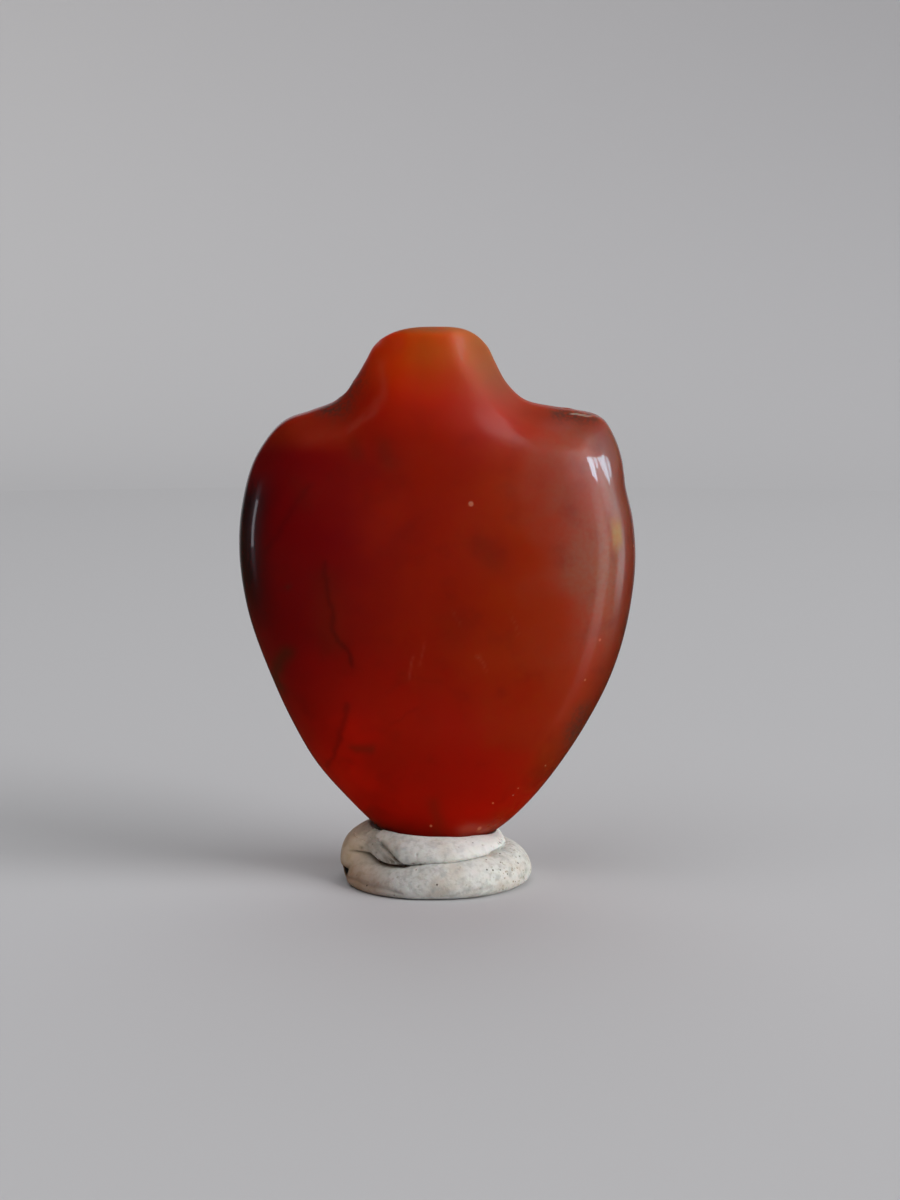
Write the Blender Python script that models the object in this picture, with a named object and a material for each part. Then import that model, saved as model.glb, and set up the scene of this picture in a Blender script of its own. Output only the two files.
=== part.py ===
"""A heart amulet of polished carnelian, standing in the coil of white putty that holds it up.

The stone is a flat pillow in the shape of a heart jar: a narrow flat foot, flanks that swell to broad
shoulders, a waisted neck and a flat crown. The putty is one hand-rolled rope laid in two turns, the
second inside and on top of the first, with the stone's foot pressed into it. At its left end the rope
climbs from one turn to the other.

The frame: X runs along the amulet's width, Y from its front face (-Y) to its back, Z upwards. The
origin is on the ground, under the middle of the stone.
"""

import math

import bmesh
import bpy
import numpy as np
from mathutils import Matrix

# The stone, in metres
STONE_HEIGHT = 0.0250
STONE_WIDTH = 0.0192
STONE_THICKNESS = 0.0075
CROWN_ROUNDING = 0.00055
FOOT_ROUNDING = 0.0005
DOME_REACH = 0.0056  # from the side edge to where the dome is level
NECK_REACH = 0.0018  # the same on the neck
BEVEL_START = 0.00095  # half the thickness that the bevel leaves at the side edge
BEVEL_SOFTNESS = 0.00035  # how round the ridge is where the bevel meets the dome
BEVEL_LIFT = 0.0010  # how far the bevel moves off the stone as it fades away
NECK_TURN = 0.0010  # how far either side of the middle the neck's two bevels blend

# The putty coil, in metres
LOWER_ROLL_HEIGHT = 0.00175
UPPER_ROLL_HEIGHT = 0.00080
SEAT_DEPTH = 0.00045
SEAT_GAP = 0.0003
LIP_WALL = 0.00045
CREASE_DEPTH = 0.0003
COIL_STEP = 0.0009
GROUND_TUCK = 0.0006

# Where the stone stands on the coil, and where its crown ends
FOOT_HEIGHT = LOWER_ROLL_HEIGHT + UPPER_ROLL_HEIGHT - SEAT_DEPTH
STONE_TOP = FOOT_HEIGHT + STONE_HEIGHT

# The stone's two side edges, foot to crown, as shares: out from the middle over half the width, and up
# from the foot over the height. The left shoulder hangs lower and rounder than the right one.
LEFT_EDGE = (
    (0.240, 0.000),  # foot corner
    (0.338, 0.033),
    (0.440, 0.073),
    (0.621, 0.154),
    (0.741, 0.234),
    (0.834, 0.313),
    (0.970, 0.471),
    (1.000, 0.573),  # widest point
    (0.985, 0.655),
    (0.894, 0.764),
    (0.758, 0.823),  # shoulder
    (0.630, 0.841),
    (0.505, 0.861),
    (0.420, 0.898),  # neck
    (0.357, 0.937),
    (0.318, 0.963),
    (0.288, 0.9744),  # crown corner
)
RIGHT_EDGE = (
    (0.240, 0.000),  # foot corner
    (0.358, 0.033),
    (0.465, 0.073),
    (0.633, 0.154),
    (0.765, 0.234),
    (0.869, 0.313),
    (0.980, 0.471),
    (1.000, 0.575),  # widest point
    (0.986, 0.632),
    (0.948, 0.695),  # flat worn along the edge
    (0.925, 0.748),
    (0.890, 0.787),
    (0.828, 0.824),
    (0.700, 0.839),  # shoulder
    (0.580, 0.847),
    (0.425, 0.863),
    (0.345, 0.893),  # neck
    (0.285, 0.935),
    (0.248, 0.963),
    (0.222, 0.9744),  # crown corner
)
CROWN_FLATNESS = 3.1

# The stone's fullness at each share of its height, as a share of its thickness
FULLNESS = ((0.00, 0.68), (0.25, 0.88), (0.55, 1.00), (0.79, 0.93), (0.92, 0.75), (1.00, 0.70))
DOME_SQUARENESS = 2.5
# The bevel round neck and shoulders sets in between these shares of the height
BEVEL_FADE = (0.62, 0.79)
BEVEL_SLOPE = 1.25
# The shoulders turn into the neck between these, where the bevel is steeper, most on the right
NECK_START = (0.78, 0.91)
NECK_SLOPE_LEFT = 1.35
NECK_SLOPE_RIGHT = 1.80

# Flakes lost from the stone's edges: the edge, and the place as a share of its length from foot to crown
FLAKE_PLACES = {
    "shoulder_flake": ("right", 0.800),
    "rim_flake": ("right", 0.640),
    "neck_nick": ("left", 0.905),
}
# Their sizes in metres: the radius of the hollow, and how deep it bites
FLAKE_SIZES = {
    "shoulder_flake": (0.0012, 0.00012),
    "rim_flake": (0.0016, 0.00009),
    "neck_nick": (0.0008, 0.00012),
}
# Each hollow runs across the edge, longer than it is wide
FLAKE_LENGTHENING = 2.2

# The coil's uneven shape round its axis, as (degrees from +X towards +Y, share of the size above). The
# upper roll steps in at the slanting seam where the rope's end is lapped over.
CREASE_RISE = ((-174, 0.95), (-135, 0.72), (-88, 0.93), (-50, 1.01), (-24, 1.12), (90, 1.05))
CREASE_SINK = ((-150, 1.4), (-120, 1.4), (-90, 0.7), (-60, 0.9), (-35, 1.3), (40, 0.9), (180, 0.9))
LIP_RISE = ((-135, 1.04), (-90, 1.03), (-50, 1.00), (-12, 0.95), (90, 1.00), (150, 1.08), (180, 1.14))
LOWER_REACH = ((-90, 1.00), (-15, 1.01), (90, 0.99), (180, 1.04), (235, 1.00))
UPPER_REACH = (
    (-158, 0.985),
    (-141, 0.955),
    (-131, 1.00),
    (-30, 1.00),
    (0, 0.92),
    (45, 0.97),
    (115, 1.00),
    (180, 1.05),
)
SEAM_SLANT = 36
TUCK = ((-90, 1.1), (-20, 1.0), (90, 1.0), (180, 0.9), (225, 0.5), (250, 0.8))
# How far the two turns have become one roll, and how full that roll is at its top
MERGING = ((-152, 0.0), (-176, 1.0), (165, 1.0), (125, 0.0))
MERGED_FULLNESS = 3.5

# Fineness of the meshes
STONE_ROWS = 46
END_ROWS = 3
HALF_RING = 24
EDGE_SAMPLES = 90
CURVE_FINENESS = 12
COIL_SIDES = 72
ROLL_STEPS = 8
LIP_STEPS = 4
HALVINGS = 24
SHARP_ANGLE = 40

# The side edges run on straight past foot and crown by this much, so that both ends keep their fullness
EDGE_RUN_ON = 0.010
ON_THE_EDGE = 1e-14


def curve_through(points, count):
    """Evenly spaced points on a smooth curve through the given ones: a cubic for each stretch."""
    points = np.asarray(points, float)
    chords = np.linalg.norm(np.diff(points, axis=0), axis=1)
    knots = np.concatenate([[0.0], np.cumsum(chords)])
    tangents = np.gradient(points, knots, axis=0)
    along = np.linspace(0.0, knots[-1], CURVE_FINENESS * count)
    span = np.clip(np.searchsorted(knots, along, side="right") - 1, 0, len(chords) - 1)
    width = chords[span][:, None]
    u = (along - knots[span])[:, None] / width
    curve = (
        (2 * u**3 - 3 * u**2 + 1) * points[span]
        + (u**3 - 2 * u**2 + u) * width * tangents[span]
        + (3 * u**2 - 2 * u**3) * points[span + 1]
        + (u**3 - u**2) * width * tangents[span + 1]
    )
    walked = np.concatenate([[0.0], np.cumsum(np.linalg.norm(np.diff(curve, axis=0), axis=1))])
    even = np.linspace(0.0, walked[-1], count)
    return np.stack([np.interp(even, walked, curve[:, axis]) for axis in range(2)], axis=1)


def side_edge(shares, side):
    """One side edge of the stone as (x, z) points, foot to crown; side is -1 on the left."""
    x_and_z = np.array(shares) * (side * STONE_WIDTH / 2, STONE_HEIGHT) + (0.0, FOOT_HEIGHT)
    return curve_through(x_and_z, EDGE_SAMPLES)


def smooth_steps(value, stations):
    """Values between stations, level at each station, so that nothing overshoots."""
    places, values = np.array(stations, float).T
    span = np.clip(np.searchsorted(places, value, side="right") - 1, 0, len(places) - 2)
    u = np.clip((value - places[span]) / (places[span + 1] - places[span]), 0.0, 1.0)
    return values[span] + (values[span + 1] - values[span]) * u * u * (3 - 2 * u)


def smooth_share(value, start, end):
    """Rises from 0 at start to 1 at end, level at both."""
    return smooth_steps(value, ((start, 0.0), (end, 1.0)))


def edge_distance(x, z, edges):
    """How far (x, z) lies inside the side edges, smooth also midway between them.

    Each straight piece of edge adds its integral of 1/r^3. One long straight edge sums to 2/d^2, so
    (2/sum)^0.5 is the true distance near an edge, and it rounds off gently in the middle.
    """
    place = np.stack([x, z], axis=-1)[..., None, :]
    run_on = (0.0, EDGE_RUN_ON)
    total = np.zeros(x.shape)
    for edge in edges:
        line = np.vstack([edge[0] - run_on, edge, edge[-1] + run_on])
        pieces = np.diff(line, axis=0)
        along = pieces / np.linalg.norm(pieces, axis=1)[:, None]
        start = ((line[:-1] - place) * along).sum(axis=-1)
        end = ((line[1:] - place) * along).sum(axis=-1)
        off_line = ((line[:-1] - place) ** 2).sum(axis=-1) - start**2
        off_line = np.maximum(off_line, ON_THE_EDGE)
        swept = end / np.sqrt(end**2 + off_line) - start / np.sqrt(start**2 + off_line)
        total += (swept / off_line).sum(axis=-1)
    return np.sqrt(2.0 / total)


def quarter_round(distance, radius):
    """0 at the end of the stone and 1 a radius in, along a quarter of a circle."""
    u = np.clip(distance / radius, 0.0, 1.0)
    return np.sqrt(1.0 - (1.0 - u) ** 2)


def crown_line(x, edges):
    """The height of the crown's top over x: highest in the middle, dropping to each crown corner."""
    corner_x, corner_z = (np.where(x < 0, edges[0][-1, axis], edges[1][-1, axis]) for axis in range(2))
    share = np.clip(x / corner_x, 0.0, 1.0)
    return STONE_TOP - (STONE_TOP - corner_z) * share**CROWN_FLATNESS


def half_thickness(x, z, edges):
    """The distance from the stone's middle plane to its face at (x, z).

    A square-shouldered dome rises from the edges, in a shorter reach on the neck. The bevel cuts its rim
    round neck and shoulders, and crown and foot are rounded over into their flat ends.
    """
    inside = edge_distance(x, z, edges)
    up = (z - FOOT_HEIGHT) / STONE_HEIGHT
    neck = smooth_share(up, *NECK_START)
    reach = DOME_REACH + (NECK_REACH - DOME_REACH) * neck
    fall = (1.0 - np.clip(inside / reach, 0.0, 1.0)) ** DOME_SQUARENESS
    dome = STONE_THICKNESS / 2 * (1.0 - fall) ** (1.0 / DOME_SQUARENESS) * smooth_steps(up, FULLNESS)
    to_the_right = smooth_share(x, -NECK_TURN, NECK_TURN)
    neck_slope = NECK_SLOPE_LEFT + (NECK_SLOPE_RIGHT - NECK_SLOPE_LEFT) * to_the_right
    slope = BEVEL_SLOPE + (neck_slope - BEVEL_SLOPE) * neck
    lift = BEVEL_LIFT * (1.0 - smooth_share(up, *BEVEL_FADE))
    bevel = BEVEL_START + slope * inside + lift
    face = np.maximum((dome + bevel - np.hypot(dome - bevel, BEVEL_SOFTNESS)) / 2, 0.0)
    below_crown = crown_line(x, edges) - z
    above_foot = z - FOOT_HEIGHT
    for distance, radius in ((below_crown, CROWN_ROUNDING), (above_foot, FOOT_ROUNDING)):
        taken = radius * face / (radius + face)
        face = face - taken * (1.0 - quarter_round(distance, radius))
    return face


def stone_rows(edges):
    """The stone's rows as (x, z) grids: each runs from the left edge to the right one.

    A row ends at the same share of both edges, and its middle is at that share of the height. The rows
    are closer together where the stone rounds into its foot and its crown.
    """
    rounding = 1.0 - np.cos(np.linspace(0.0, math.pi / 2, END_ROWS + 1))[:-1]
    foot_share = FOOT_ROUNDING / STONE_HEIGHT
    crown_share = CROWN_ROUNDING / STONE_HEIGHT
    body = np.linspace(foot_share, 1.0 - crown_share, STONE_ROWS)
    share = np.concatenate([rounding * foot_share, body, 1.0 - rounding[::-1] * crown_share])
    samples = np.arange(EDGE_SAMPLES)
    left, right = (
        [np.interp(share * (EDGE_SAMPLES - 1), samples, edge[:, axis])[:, None] for axis in range(2)]
        for edge in edges
    )
    across = -np.cos(np.linspace(0.0, math.pi, HALF_RING + 1))
    out = np.abs(across)
    middle = FOOT_HEIGHT + STONE_HEIGHT * share[:, None]
    x = np.where(across < 0, left[0], right[0]) * out
    z = middle + (np.where(across < 0, left[1], right[1]) - middle) * out**CROWN_FLATNESS
    return x, z


def ring_faces(rings, around):
    """Quads between neighbouring closed rings of points, numbered ring by ring."""
    ring, step = np.meshgrid(np.arange(rings - 1) * around, np.arange(around), indexing="ij")
    following = (step + 1) % around
    corners = (ring + step, ring + following, ring + around + following, ring + around + step)
    return np.stack(corners, axis=-1).reshape(-1, 4).tolist()


def add_object(name, points, faces, material):
    """A smooth-shaded mesh object with this material."""
    mesh = bpy.data.meshes.new(name)
    mesh.from_pydata(points.tolist(), [], faces)
    mesh.shade_smooth()
    mesh.set_sharp_from_angle(angle=math.radians(SHARP_ANGLE))
    mesh.materials.append(material)
    obj = bpy.data.objects.new(name, mesh)
    bpy.context.scene.collection.objects.link(obj)
    return obj


def add_material(name, color, roughness):
    """A plain non-metal with this linear colour."""
    material = bpy.data.materials.new(name)
    material.use_nodes = True
    shader = material.node_tree.nodes["Principled BSDF"]
    shader.inputs["Base Color"].default_value = (*color, 1.0)
    shader.inputs["Roughness"].default_value = roughness
    shader.inputs["Metallic"].default_value = 0.0
    return material


def add_flake_cutter(name, edges):
    """The hollow that a lost flake leaves, as a long ball that bites into the stone's edge."""
    side, share = FLAKE_PLACES[name]
    radius, bite = FLAKE_SIZES[name]
    edge, outer_side = (edges[0], -1) if side == "left" else (edges[1], 1)
    here = round(share * (EDGE_SAMPLES - 1))
    along = edge[here + 1] - edge[here - 1]
    outwards = outer_side * np.array([along[1], -along[0]]) / np.linalg.norm(along)
    place = edge[here] + outwards * (radius - bite)
    ball = bmesh.new()
    lengthened = Matrix.Diagonal((1.0, FLAKE_LENGTHENING, 1.0, 1.0))
    bmesh.ops.create_icosphere(ball, subdivisions=3, radius=radius, matrix=lengthened)
    mesh = bpy.data.meshes.new(name)
    ball.to_mesh(mesh)
    ball.free()
    cutter = bpy.data.objects.new(name, mesh)
    cutter.location = (place[0], 0.0, place[1])
    cutter.hide_render = True
    cutter.display_type = "WIRE"
    bpy.context.scene.collection.objects.link(cutter)
    return cutter


def build_stone(edges, material):
    """The carved stone: front and back faces that meet along the side edges, with a flat foot and crown."""
    x, z = stone_rows(edges)
    y = half_thickness(x, z, edges)
    y[:, [0, -1]] = 0.0
    front = np.stack([x, -y, z], axis=-1)
    back = np.stack([x, y, z], axis=-1)[:, -2:0:-1]
    rings = np.concatenate([front, back], axis=1)
    count, around = rings.shape[:2]
    step = np.arange(HALF_RING)
    facing = (around - step) % around
    foot = np.stack([step, facing, around - step - 1, step + 1], axis=1)
    crown = foot[:, ::-1] + (count - 1) * around
    faces = ring_faces(count, around)
    # At both ends of the foot and the crown the two faces share a point, which leaves a triangle there.
    faces += [list(dict.fromkeys(face)) for face in np.vstack([foot, crown]).tolist()]
    stone = add_object("heart_amulet", rings.reshape(-1, 3), faces, material)
    for name in FLAKE_PLACES:
        scar = stone.modifiers.new(name, "BOOLEAN")
        scar.operation = "DIFFERENCE"
        scar.object = add_flake_cutter(name, edges)
    return stone


def round_axis(degrees, stations):
    """Values between stations round the coil's axis, meeting themselves after a full turn."""
    stations = sorted(((place + 180) % 360 - 180, value) for place, value in stations)
    before = (stations[-1][0] - 360, stations[-1][1])
    after = (stations[0][0] + 360, stations[0][1])
    return smooth_steps((degrees + 180) % 360 - 180, (before, *stations, after))


def foot_reach(turn, height, edges):
    """How far the stone reaches from its axis in each direction at these heights, by halving steps."""
    left, right = (np.interp(height, edge[:, 1], edge[:, 0]) for edge in edges)
    near = np.zeros(turn.shape)
    far = np.full(turn.shape, STONE_WIDTH / 2)
    for _ in range(HALVINGS):
        reach = (near + far) / 2
        x = reach * np.cos(turn)
        face = half_thickness(np.clip(x, left, right), height, edges)
        inside = (x > left) & (x < right) & (np.abs(reach * np.sin(turn)) < face)
        near = np.where(inside, reach, near)
        far = np.where(inside, far, reach)
    return near


def roll_profile(start, end, reach, steps, fullness=1.0):
    """A roll's rounded flank between two (radius, height) points, bulging out to this reach.

    It is half an ellipse on the line between the points, so it is level at both ends and two rolls meet
    in a crease. A fullness above 1 keeps the line upright for longer, for a roll that leans in only near
    its top. The end point is left to the next stretch.
    """
    lean = (end[0] - start[0]) * 0.5**fullness
    bulge = np.sqrt(np.maximum((reach - start[0] - lean) ** 2 - lean**2, 0.0))
    angle = np.linspace(-math.pi / 2, math.pi / 2, steps, endpoint=False)[:, None]
    share = (1.0 + np.sin(angle)) / 2
    radius = start[0] + (end[0] - start[0]) * share**fullness + bulge * np.cos(angle)
    height = start[1] + (end[1] - start[1]) * share
    return radius, height


def coil_flank(ground, crease, lip_top, lower_reach, upper_reach, degrees):
    """The coil's outside: two rolls one on the other, which become one where the turns merge."""
    up_the_roll = np.linspace(-0.5, 0.5, ROLL_STEPS)[:, None]
    stepped_reach = upper_reach * round_axis(degrees + SEAM_SLANT * up_the_roll, UPPER_REACH)
    lower = roll_profile(ground, crease, lower_reach, ROLL_STEPS)
    upper = roll_profile(crease, lip_top, stepped_reach, ROLL_STEPS)
    two_rolls = [np.concatenate([lower[part], upper[part]]) for part in range(2)]
    one_roll = roll_profile(ground, lip_top, lower_reach, 2 * ROLL_STEPS, MERGED_FULLNESS)
    share = round_axis(degrees, MERGING)
    return tuple(two * (1.0 - share) + one * share for two, one in zip(two_rolls, one_roll))


def build_coil(edges, material):
    """The putty: two rolls one on the other, a lip round the stone's foot and the seat that it fills."""
    degrees = np.linspace(-180, 180, COIL_SIDES, endpoint=False)
    turn = np.radians(degrees)
    foot_height = np.full(turn.shape, FOOT_HEIGHT)
    lip_height = (FOOT_HEIGHT + SEAT_DEPTH) * round_axis(degrees, LIP_RISE)
    seat = (foot_reach(turn, foot_height, edges) + SEAT_GAP, foot_height - SEAT_GAP)
    mouth = (foot_reach(turn, lip_height, edges) + SEAT_GAP, foot_height)
    lip_top = (mouth[0] + LIP_WALL / 2, lip_height)
    upper_reach = foot_reach(turn, foot_height + SEAT_DEPTH, edges).max() + SEAT_GAP + LIP_WALL
    lower_reach = (upper_reach + COIL_STEP) * round_axis(degrees, LOWER_REACH)
    crease_radius = upper_reach - CREASE_DEPTH * round_axis(degrees, CREASE_SINK)
    crease = (crease_radius, LOWER_ROLL_HEIGHT * round_axis(degrees, CREASE_RISE))
    ground = (lower_reach - GROUND_TUCK * round_axis(degrees, TUCK), np.zeros(turn.shape))
    stretches = (
        coil_flank(ground, crease, lip_top, lower_reach, upper_reach, degrees),
        roll_profile(lip_top, mouth, mouth[0], LIP_STEPS),
        (seat[0][None, :], seat[1][None, :]),
    )
    radius, height = (np.concatenate([stretch[part] for stretch in stretches]) for part in range(2))
    rings = np.stack([radius * np.cos(turn), radius * np.sin(turn), height], axis=-1)
    middles = ((0.0, 0.0, 0.0), (0.0, 0.0, FOOT_HEIGHT - SEAT_GAP))
    points = np.vstack([rings.reshape(-1, 3), middles])
    under = rings.shape[0] * COIL_SIDES
    step = np.arange(COIL_SIDES)
    following = (step + 1) % COIL_SIDES
    top_ring = under - COIL_SIDES
    underside = np.stack([np.full(COIL_SIDES, under), following, step], axis=1)
    seat_floor = np.stack([np.full(COIL_SIDES, under + 1), top_ring + step, top_ring + following], axis=1)
    faces = ring_faces(len(rings), COIL_SIDES) + underside.tolist() + seat_floor.tolist()
    return add_object("putty_coil", points, faces, material)


def main():
    """Clears the scene, then builds the stone and the coil that it stands in."""
    for leftover in list(bpy.data.objects):
        bpy.data.objects.remove(leftover, do_unlink=True)
    edges = (side_edge(LEFT_EDGE, -1), side_edge(RIGHT_EDGE, 1))
    build_stone(edges, add_material("carnelian", (0.33, 0.028, 0.010), 0.16))
    build_coil(edges, add_material("putty", (0.68, 0.66, 0.61), 0.75))


main()
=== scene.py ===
"""The finish, fine relief and light of a carnelian heart amulet that stands in a coil of white putty.

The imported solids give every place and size. Both pieces are worked out again here, finer, from the
formulas that their solids follow, with what a solid leaves out: the unevenness of a polish rubbed by hand,
flakes lost from the rim, and the rope's seam, folded skin, tucked-in end and specks.

The frame: X runs along the amulet's width, Y from its front (-Y) to its back, Z upwards, in metres.
"""

import itertools
import logging
import math
from dataclasses import dataclass
from enum import Enum
from functools import cached_property
from typing import Any

import bpy
import numpy as np
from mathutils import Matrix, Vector


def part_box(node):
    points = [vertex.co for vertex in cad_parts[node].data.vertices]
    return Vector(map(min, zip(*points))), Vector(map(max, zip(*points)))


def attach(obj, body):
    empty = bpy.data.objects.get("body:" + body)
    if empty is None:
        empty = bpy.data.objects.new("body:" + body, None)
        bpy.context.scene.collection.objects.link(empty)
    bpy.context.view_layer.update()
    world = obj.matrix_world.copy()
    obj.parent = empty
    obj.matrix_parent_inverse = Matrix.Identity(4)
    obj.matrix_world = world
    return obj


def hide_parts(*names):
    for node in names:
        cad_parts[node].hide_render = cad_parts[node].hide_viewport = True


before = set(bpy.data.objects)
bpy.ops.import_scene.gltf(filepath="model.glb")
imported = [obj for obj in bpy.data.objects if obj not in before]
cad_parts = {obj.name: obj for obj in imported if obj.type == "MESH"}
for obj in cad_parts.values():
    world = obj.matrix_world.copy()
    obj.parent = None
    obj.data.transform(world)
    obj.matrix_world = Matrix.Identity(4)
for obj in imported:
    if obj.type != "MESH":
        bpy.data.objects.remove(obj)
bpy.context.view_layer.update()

LOG = logging.getLogger("heart_amulet")

MM = 0.001
CURVE_FINENESS = 12
LATTICE = 24
SHARP_ANGLE = 38.0
POINTS_AT_ONCE = 3000
ON_THE_EDGE = 1e-14

Array = np.ndarray
Stations = tuple[tuple[float, float], ...]
Triple = tuple[float, float, float]


class Side(Enum):
    """The stone's two side edges, by the sign of their X."""

    LEFT = -1
    RIGHT = 1


class Face(Enum):
    """The stone's two broad faces, by the sign of their Y."""

    FRONT = -1
    BACK = 1


class Inclusion(Enum):
    """What lies in or on the stone, and the sheen painted on it, by the name of the vertex attribute that
    carries it.
    """

    THREAD = "threads"
    SCRATCH_AND_SHEEN = "scratches_and_sheen"
    CLOUD = "clouds"
    WEATHERING = "weathering"


def linear(hex_color: str) -> tuple[float, float, float, float]:
    """Turns an sRGB colour written as hex into Blender's linear colour with full alpha.

    Args:
        hex_color: six hex digits after a hash.
    Returns:
        Red, green, blue and alpha.
    """
    shares = (int(hex_color[place : place + 2], 16) / 255 for place in (1, 3, 5))
    levels = (v / 12.92 if v <= 0.04045 else ((v + 0.055) / 1.055) ** 2.4 for v in shares)
    return (*levels, 1.0)


def smooth_share(value: Array, start: float, end: float) -> Array:
    """Rises from 0 at start to 1 at end as 3u^2 - 2u^3.

    Args:
        value: the places to read.
        start: where the rise starts.
        end: where it ends, which may be below start.
    Returns:
        The share at each place.
    """
    u = np.clip((value - start) / (end - start), 0.0, 1.0)
    return u * u * (3.0 - 2.0 * u)


def smooth_steps(value: Array, stations: Stations) -> Array:
    """Values between stations, as 3u^2 - 2u^3 of each stretch, so that nothing overshoots.

    Args:
        value: the places to read.
        stations: pairs of place and value, in order.
    Returns:
        The value at each place.
    """
    places, values = np.array(stations, float).T
    span = np.clip(np.searchsorted(places, value, side="right") - 1, 0, len(places) - 2)
    u = np.clip((value - places[span]) / (places[span + 1] - places[span]), 0.0, 1.0)
    return values[span] + (values[span + 1] - values[span]) * u * u * (3 - 2 * u)


def round_axis(degrees: Array, stations: Stations) -> Array:
    """Values between stations round the coil's axis, which meet themselves after a full turn.

    Args:
        degrees: directions from +X towards +Y.
        stations: pairs of direction and value.
    Returns:
        The value in each direction.
    """
    turned = sorted(((place + 180) % 360 - 180, value) for place, value in stations)
    before = (turned[-1][0] - 360, turned[-1][1])
    after = (turned[0][0] + 360, turned[0][1])
    return smooth_steps((degrees + 180) % 360 - 180, (before, *turned, after))


def curve_through(points: Array, count: int) -> Array:
    """Evenly spaced points on a smooth curve through the given ones: a cubic for each stretch.

    Args:
        points: the points that the curve passes.
        count: how many points to give back.
    Returns:
        A row for each point.
    """
    chords = np.linalg.norm(np.diff(points, axis=0), axis=1)
    knots = np.concatenate([[0.0], np.cumsum(chords)])
    tangents = np.gradient(points, knots, axis=0)
    along = np.linspace(0.0, knots[-1], CURVE_FINENESS * count)
    span = np.clip(np.searchsorted(knots, along, side="right") - 1, 0, len(chords) - 1)
    width = chords[span][:, None]
    u = (along - knots[span])[:, None] / width
    curve = (
        (2 * u**3 - 3 * u**2 + 1) * points[span]
        + (u**3 - 2 * u**2 + u) * width * tangents[span]
        + (3 * u**2 - 2 * u**3) * points[span + 1]
        + (u**3 - u**2) * width * tangents[span + 1]
    )
    walked = np.concatenate([[0.0], np.cumsum(np.linalg.norm(np.diff(curve, axis=0), axis=1))])
    even = np.linspace(0.0, walked[-1], count)
    return np.stack([np.interp(even, walked, curve[:, axis]) for axis in range(2)], axis=1)


def soft_noise(points: Array, grain: float, seed: int) -> Array:
    """Smooth random values between -1 and 1, with bumps about one grain apart.

    Random numbers sit on a cubic lattice, and each point blends the eight round it, each weighted by the
    product of u^2 (3 - 2u) along the three axes.

    Args:
        points: an array whose last axis is x, y and z.
        grain: the lattice's spacing.
        seed: picks the random numbers.
    Returns:
        A value for each point.
    """
    table = np.random.default_rng(seed).uniform(-1.0, 1.0, (LATTICE,) * 3)
    place = points / grain
    cell = np.floor(place).astype(int)
    u = place - cell
    u = u * u * (3.0 - 2.0 * u)
    total = np.zeros(points.shape[:-1])
    for corner in itertools.product((0, 1), repeat=3):
        found = (cell + corner) % LATTICE
        weight = np.where(np.array(corner) == 1, u, 1.0 - u).prod(axis=-1)
        total += weight * table[found[..., 0], found[..., 1], found[..., 2]]
    return total


def distance_to_line(place: Array, path: Array) -> Array:
    """How far each point lies from the nearest place on a line through points.

    Args:
        place: a row for each point.
        path: a row for each point of the line.
    Returns:
        The distance of each point.
    """
    start, step = path[:-1], np.diff(path, axis=0)
    along = ((place[:, None] - start) * step).sum(axis=-1) / (step**2).sum(axis=-1)
    nearest = start + np.clip(along, 0.0, 1.0)[..., None] * step
    return np.linalg.norm(place[:, None] - nearest, axis=-1).min(axis=1)


def grid_normals(points: Array, closed: bool) -> Array:
    """Unit normals of a grid of points: the cross product of its two directions of travel.

    Args:
        points: rows by columns by xyz.
        closed: whether the last column meets the first.
    Returns:
        A normal for each point, to the left of the rows' travel as seen along the columns'.
    """
    if closed:
        along = np.roll(points, -1, axis=1) - np.roll(points, 1, axis=1)
    else:
        along = np.gradient(points, axis=1)
    normal = np.cross(along, np.gradient(points, axis=0))
    length = np.linalg.norm(normal, axis=-1, keepdims=True)
    return normal / np.maximum(length, ON_THE_EDGE)


def grid_faces(index: Array) -> list[list[int]]:
    """Faces between the neighbours in a grid of vertex numbers, triangles where two numbers are the same.

    Args:
        index: rows by columns of vertex numbers.
    Returns:
        The corners of each face.
    """
    corners = (index[:-1, :-1], index[:-1, 1:], index[1:, 1:], index[1:, :-1])
    quads = np.stack(corners, axis=-1).reshape(-1, 4)
    pinched = (quads == np.roll(quads, -1, axis=1)).any(axis=1)
    return quads[~pinched].tolist() + [list(dict.fromkeys(quad)) for quad in quads[pinched].tolist()]


def add_piece(name: str, points: Array, faces: list[list[int]], layers: dict[str, Array]) -> bpy.types.Object:
    """Makes a smooth-shaded mesh object at the origin, with one float attribute for each layer.

    Args:
        name: the piece's name.
        points: a row for each vertex.
        faces: the corners of each face.
        layers: values for each vertex, by attribute name.
    Returns:
        The new object, in the scene.
    """
    mesh = bpy.data.meshes.new(name)
    mesh.from_pydata(points.tolist(), [], faces)
    mesh.shade_smooth()
    mesh.set_sharp_from_angle(angle=math.radians(SHARP_ANGLE))
    for layer, values in layers.items():
        attribute = mesh.attributes.new(layer, "FLOAT", "POINT")
        attribute.data.foreach_set("value", values.astype(np.float32))
    piece = bpy.data.objects.new(name, mesh)
    bpy.context.scene.collection.objects.link(piece)
    return piece


def add_node(
    tree: bpy.types.NodeTree,
    kind: str,
    settings: dict[str, Any] | None = None,
    inputs: dict[str | int, Any] | None = None,
) -> bpy.types.Node:
    """Adds one shader node with its settings, and its inputs filled with values or links.

    Args:
        tree: the node tree.
        kind: the node's type, without Blender's leading ShaderNode.
        settings: the node's own properties by name.
        inputs: a value, or the output to link, by the input's name or number.
    Returns:
        The new node.
    """
    node = tree.nodes.new("ShaderNode" + kind)
    for name, value in (settings or {}).items():
        setattr(node, name, value)
    for name, value in (inputs or {}).items():
        if isinstance(value, bpy.types.NodeSocket):
            tree.links.new(value, node.inputs[name])
        else:
            node.inputs[name].default_value = value
    return node


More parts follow.
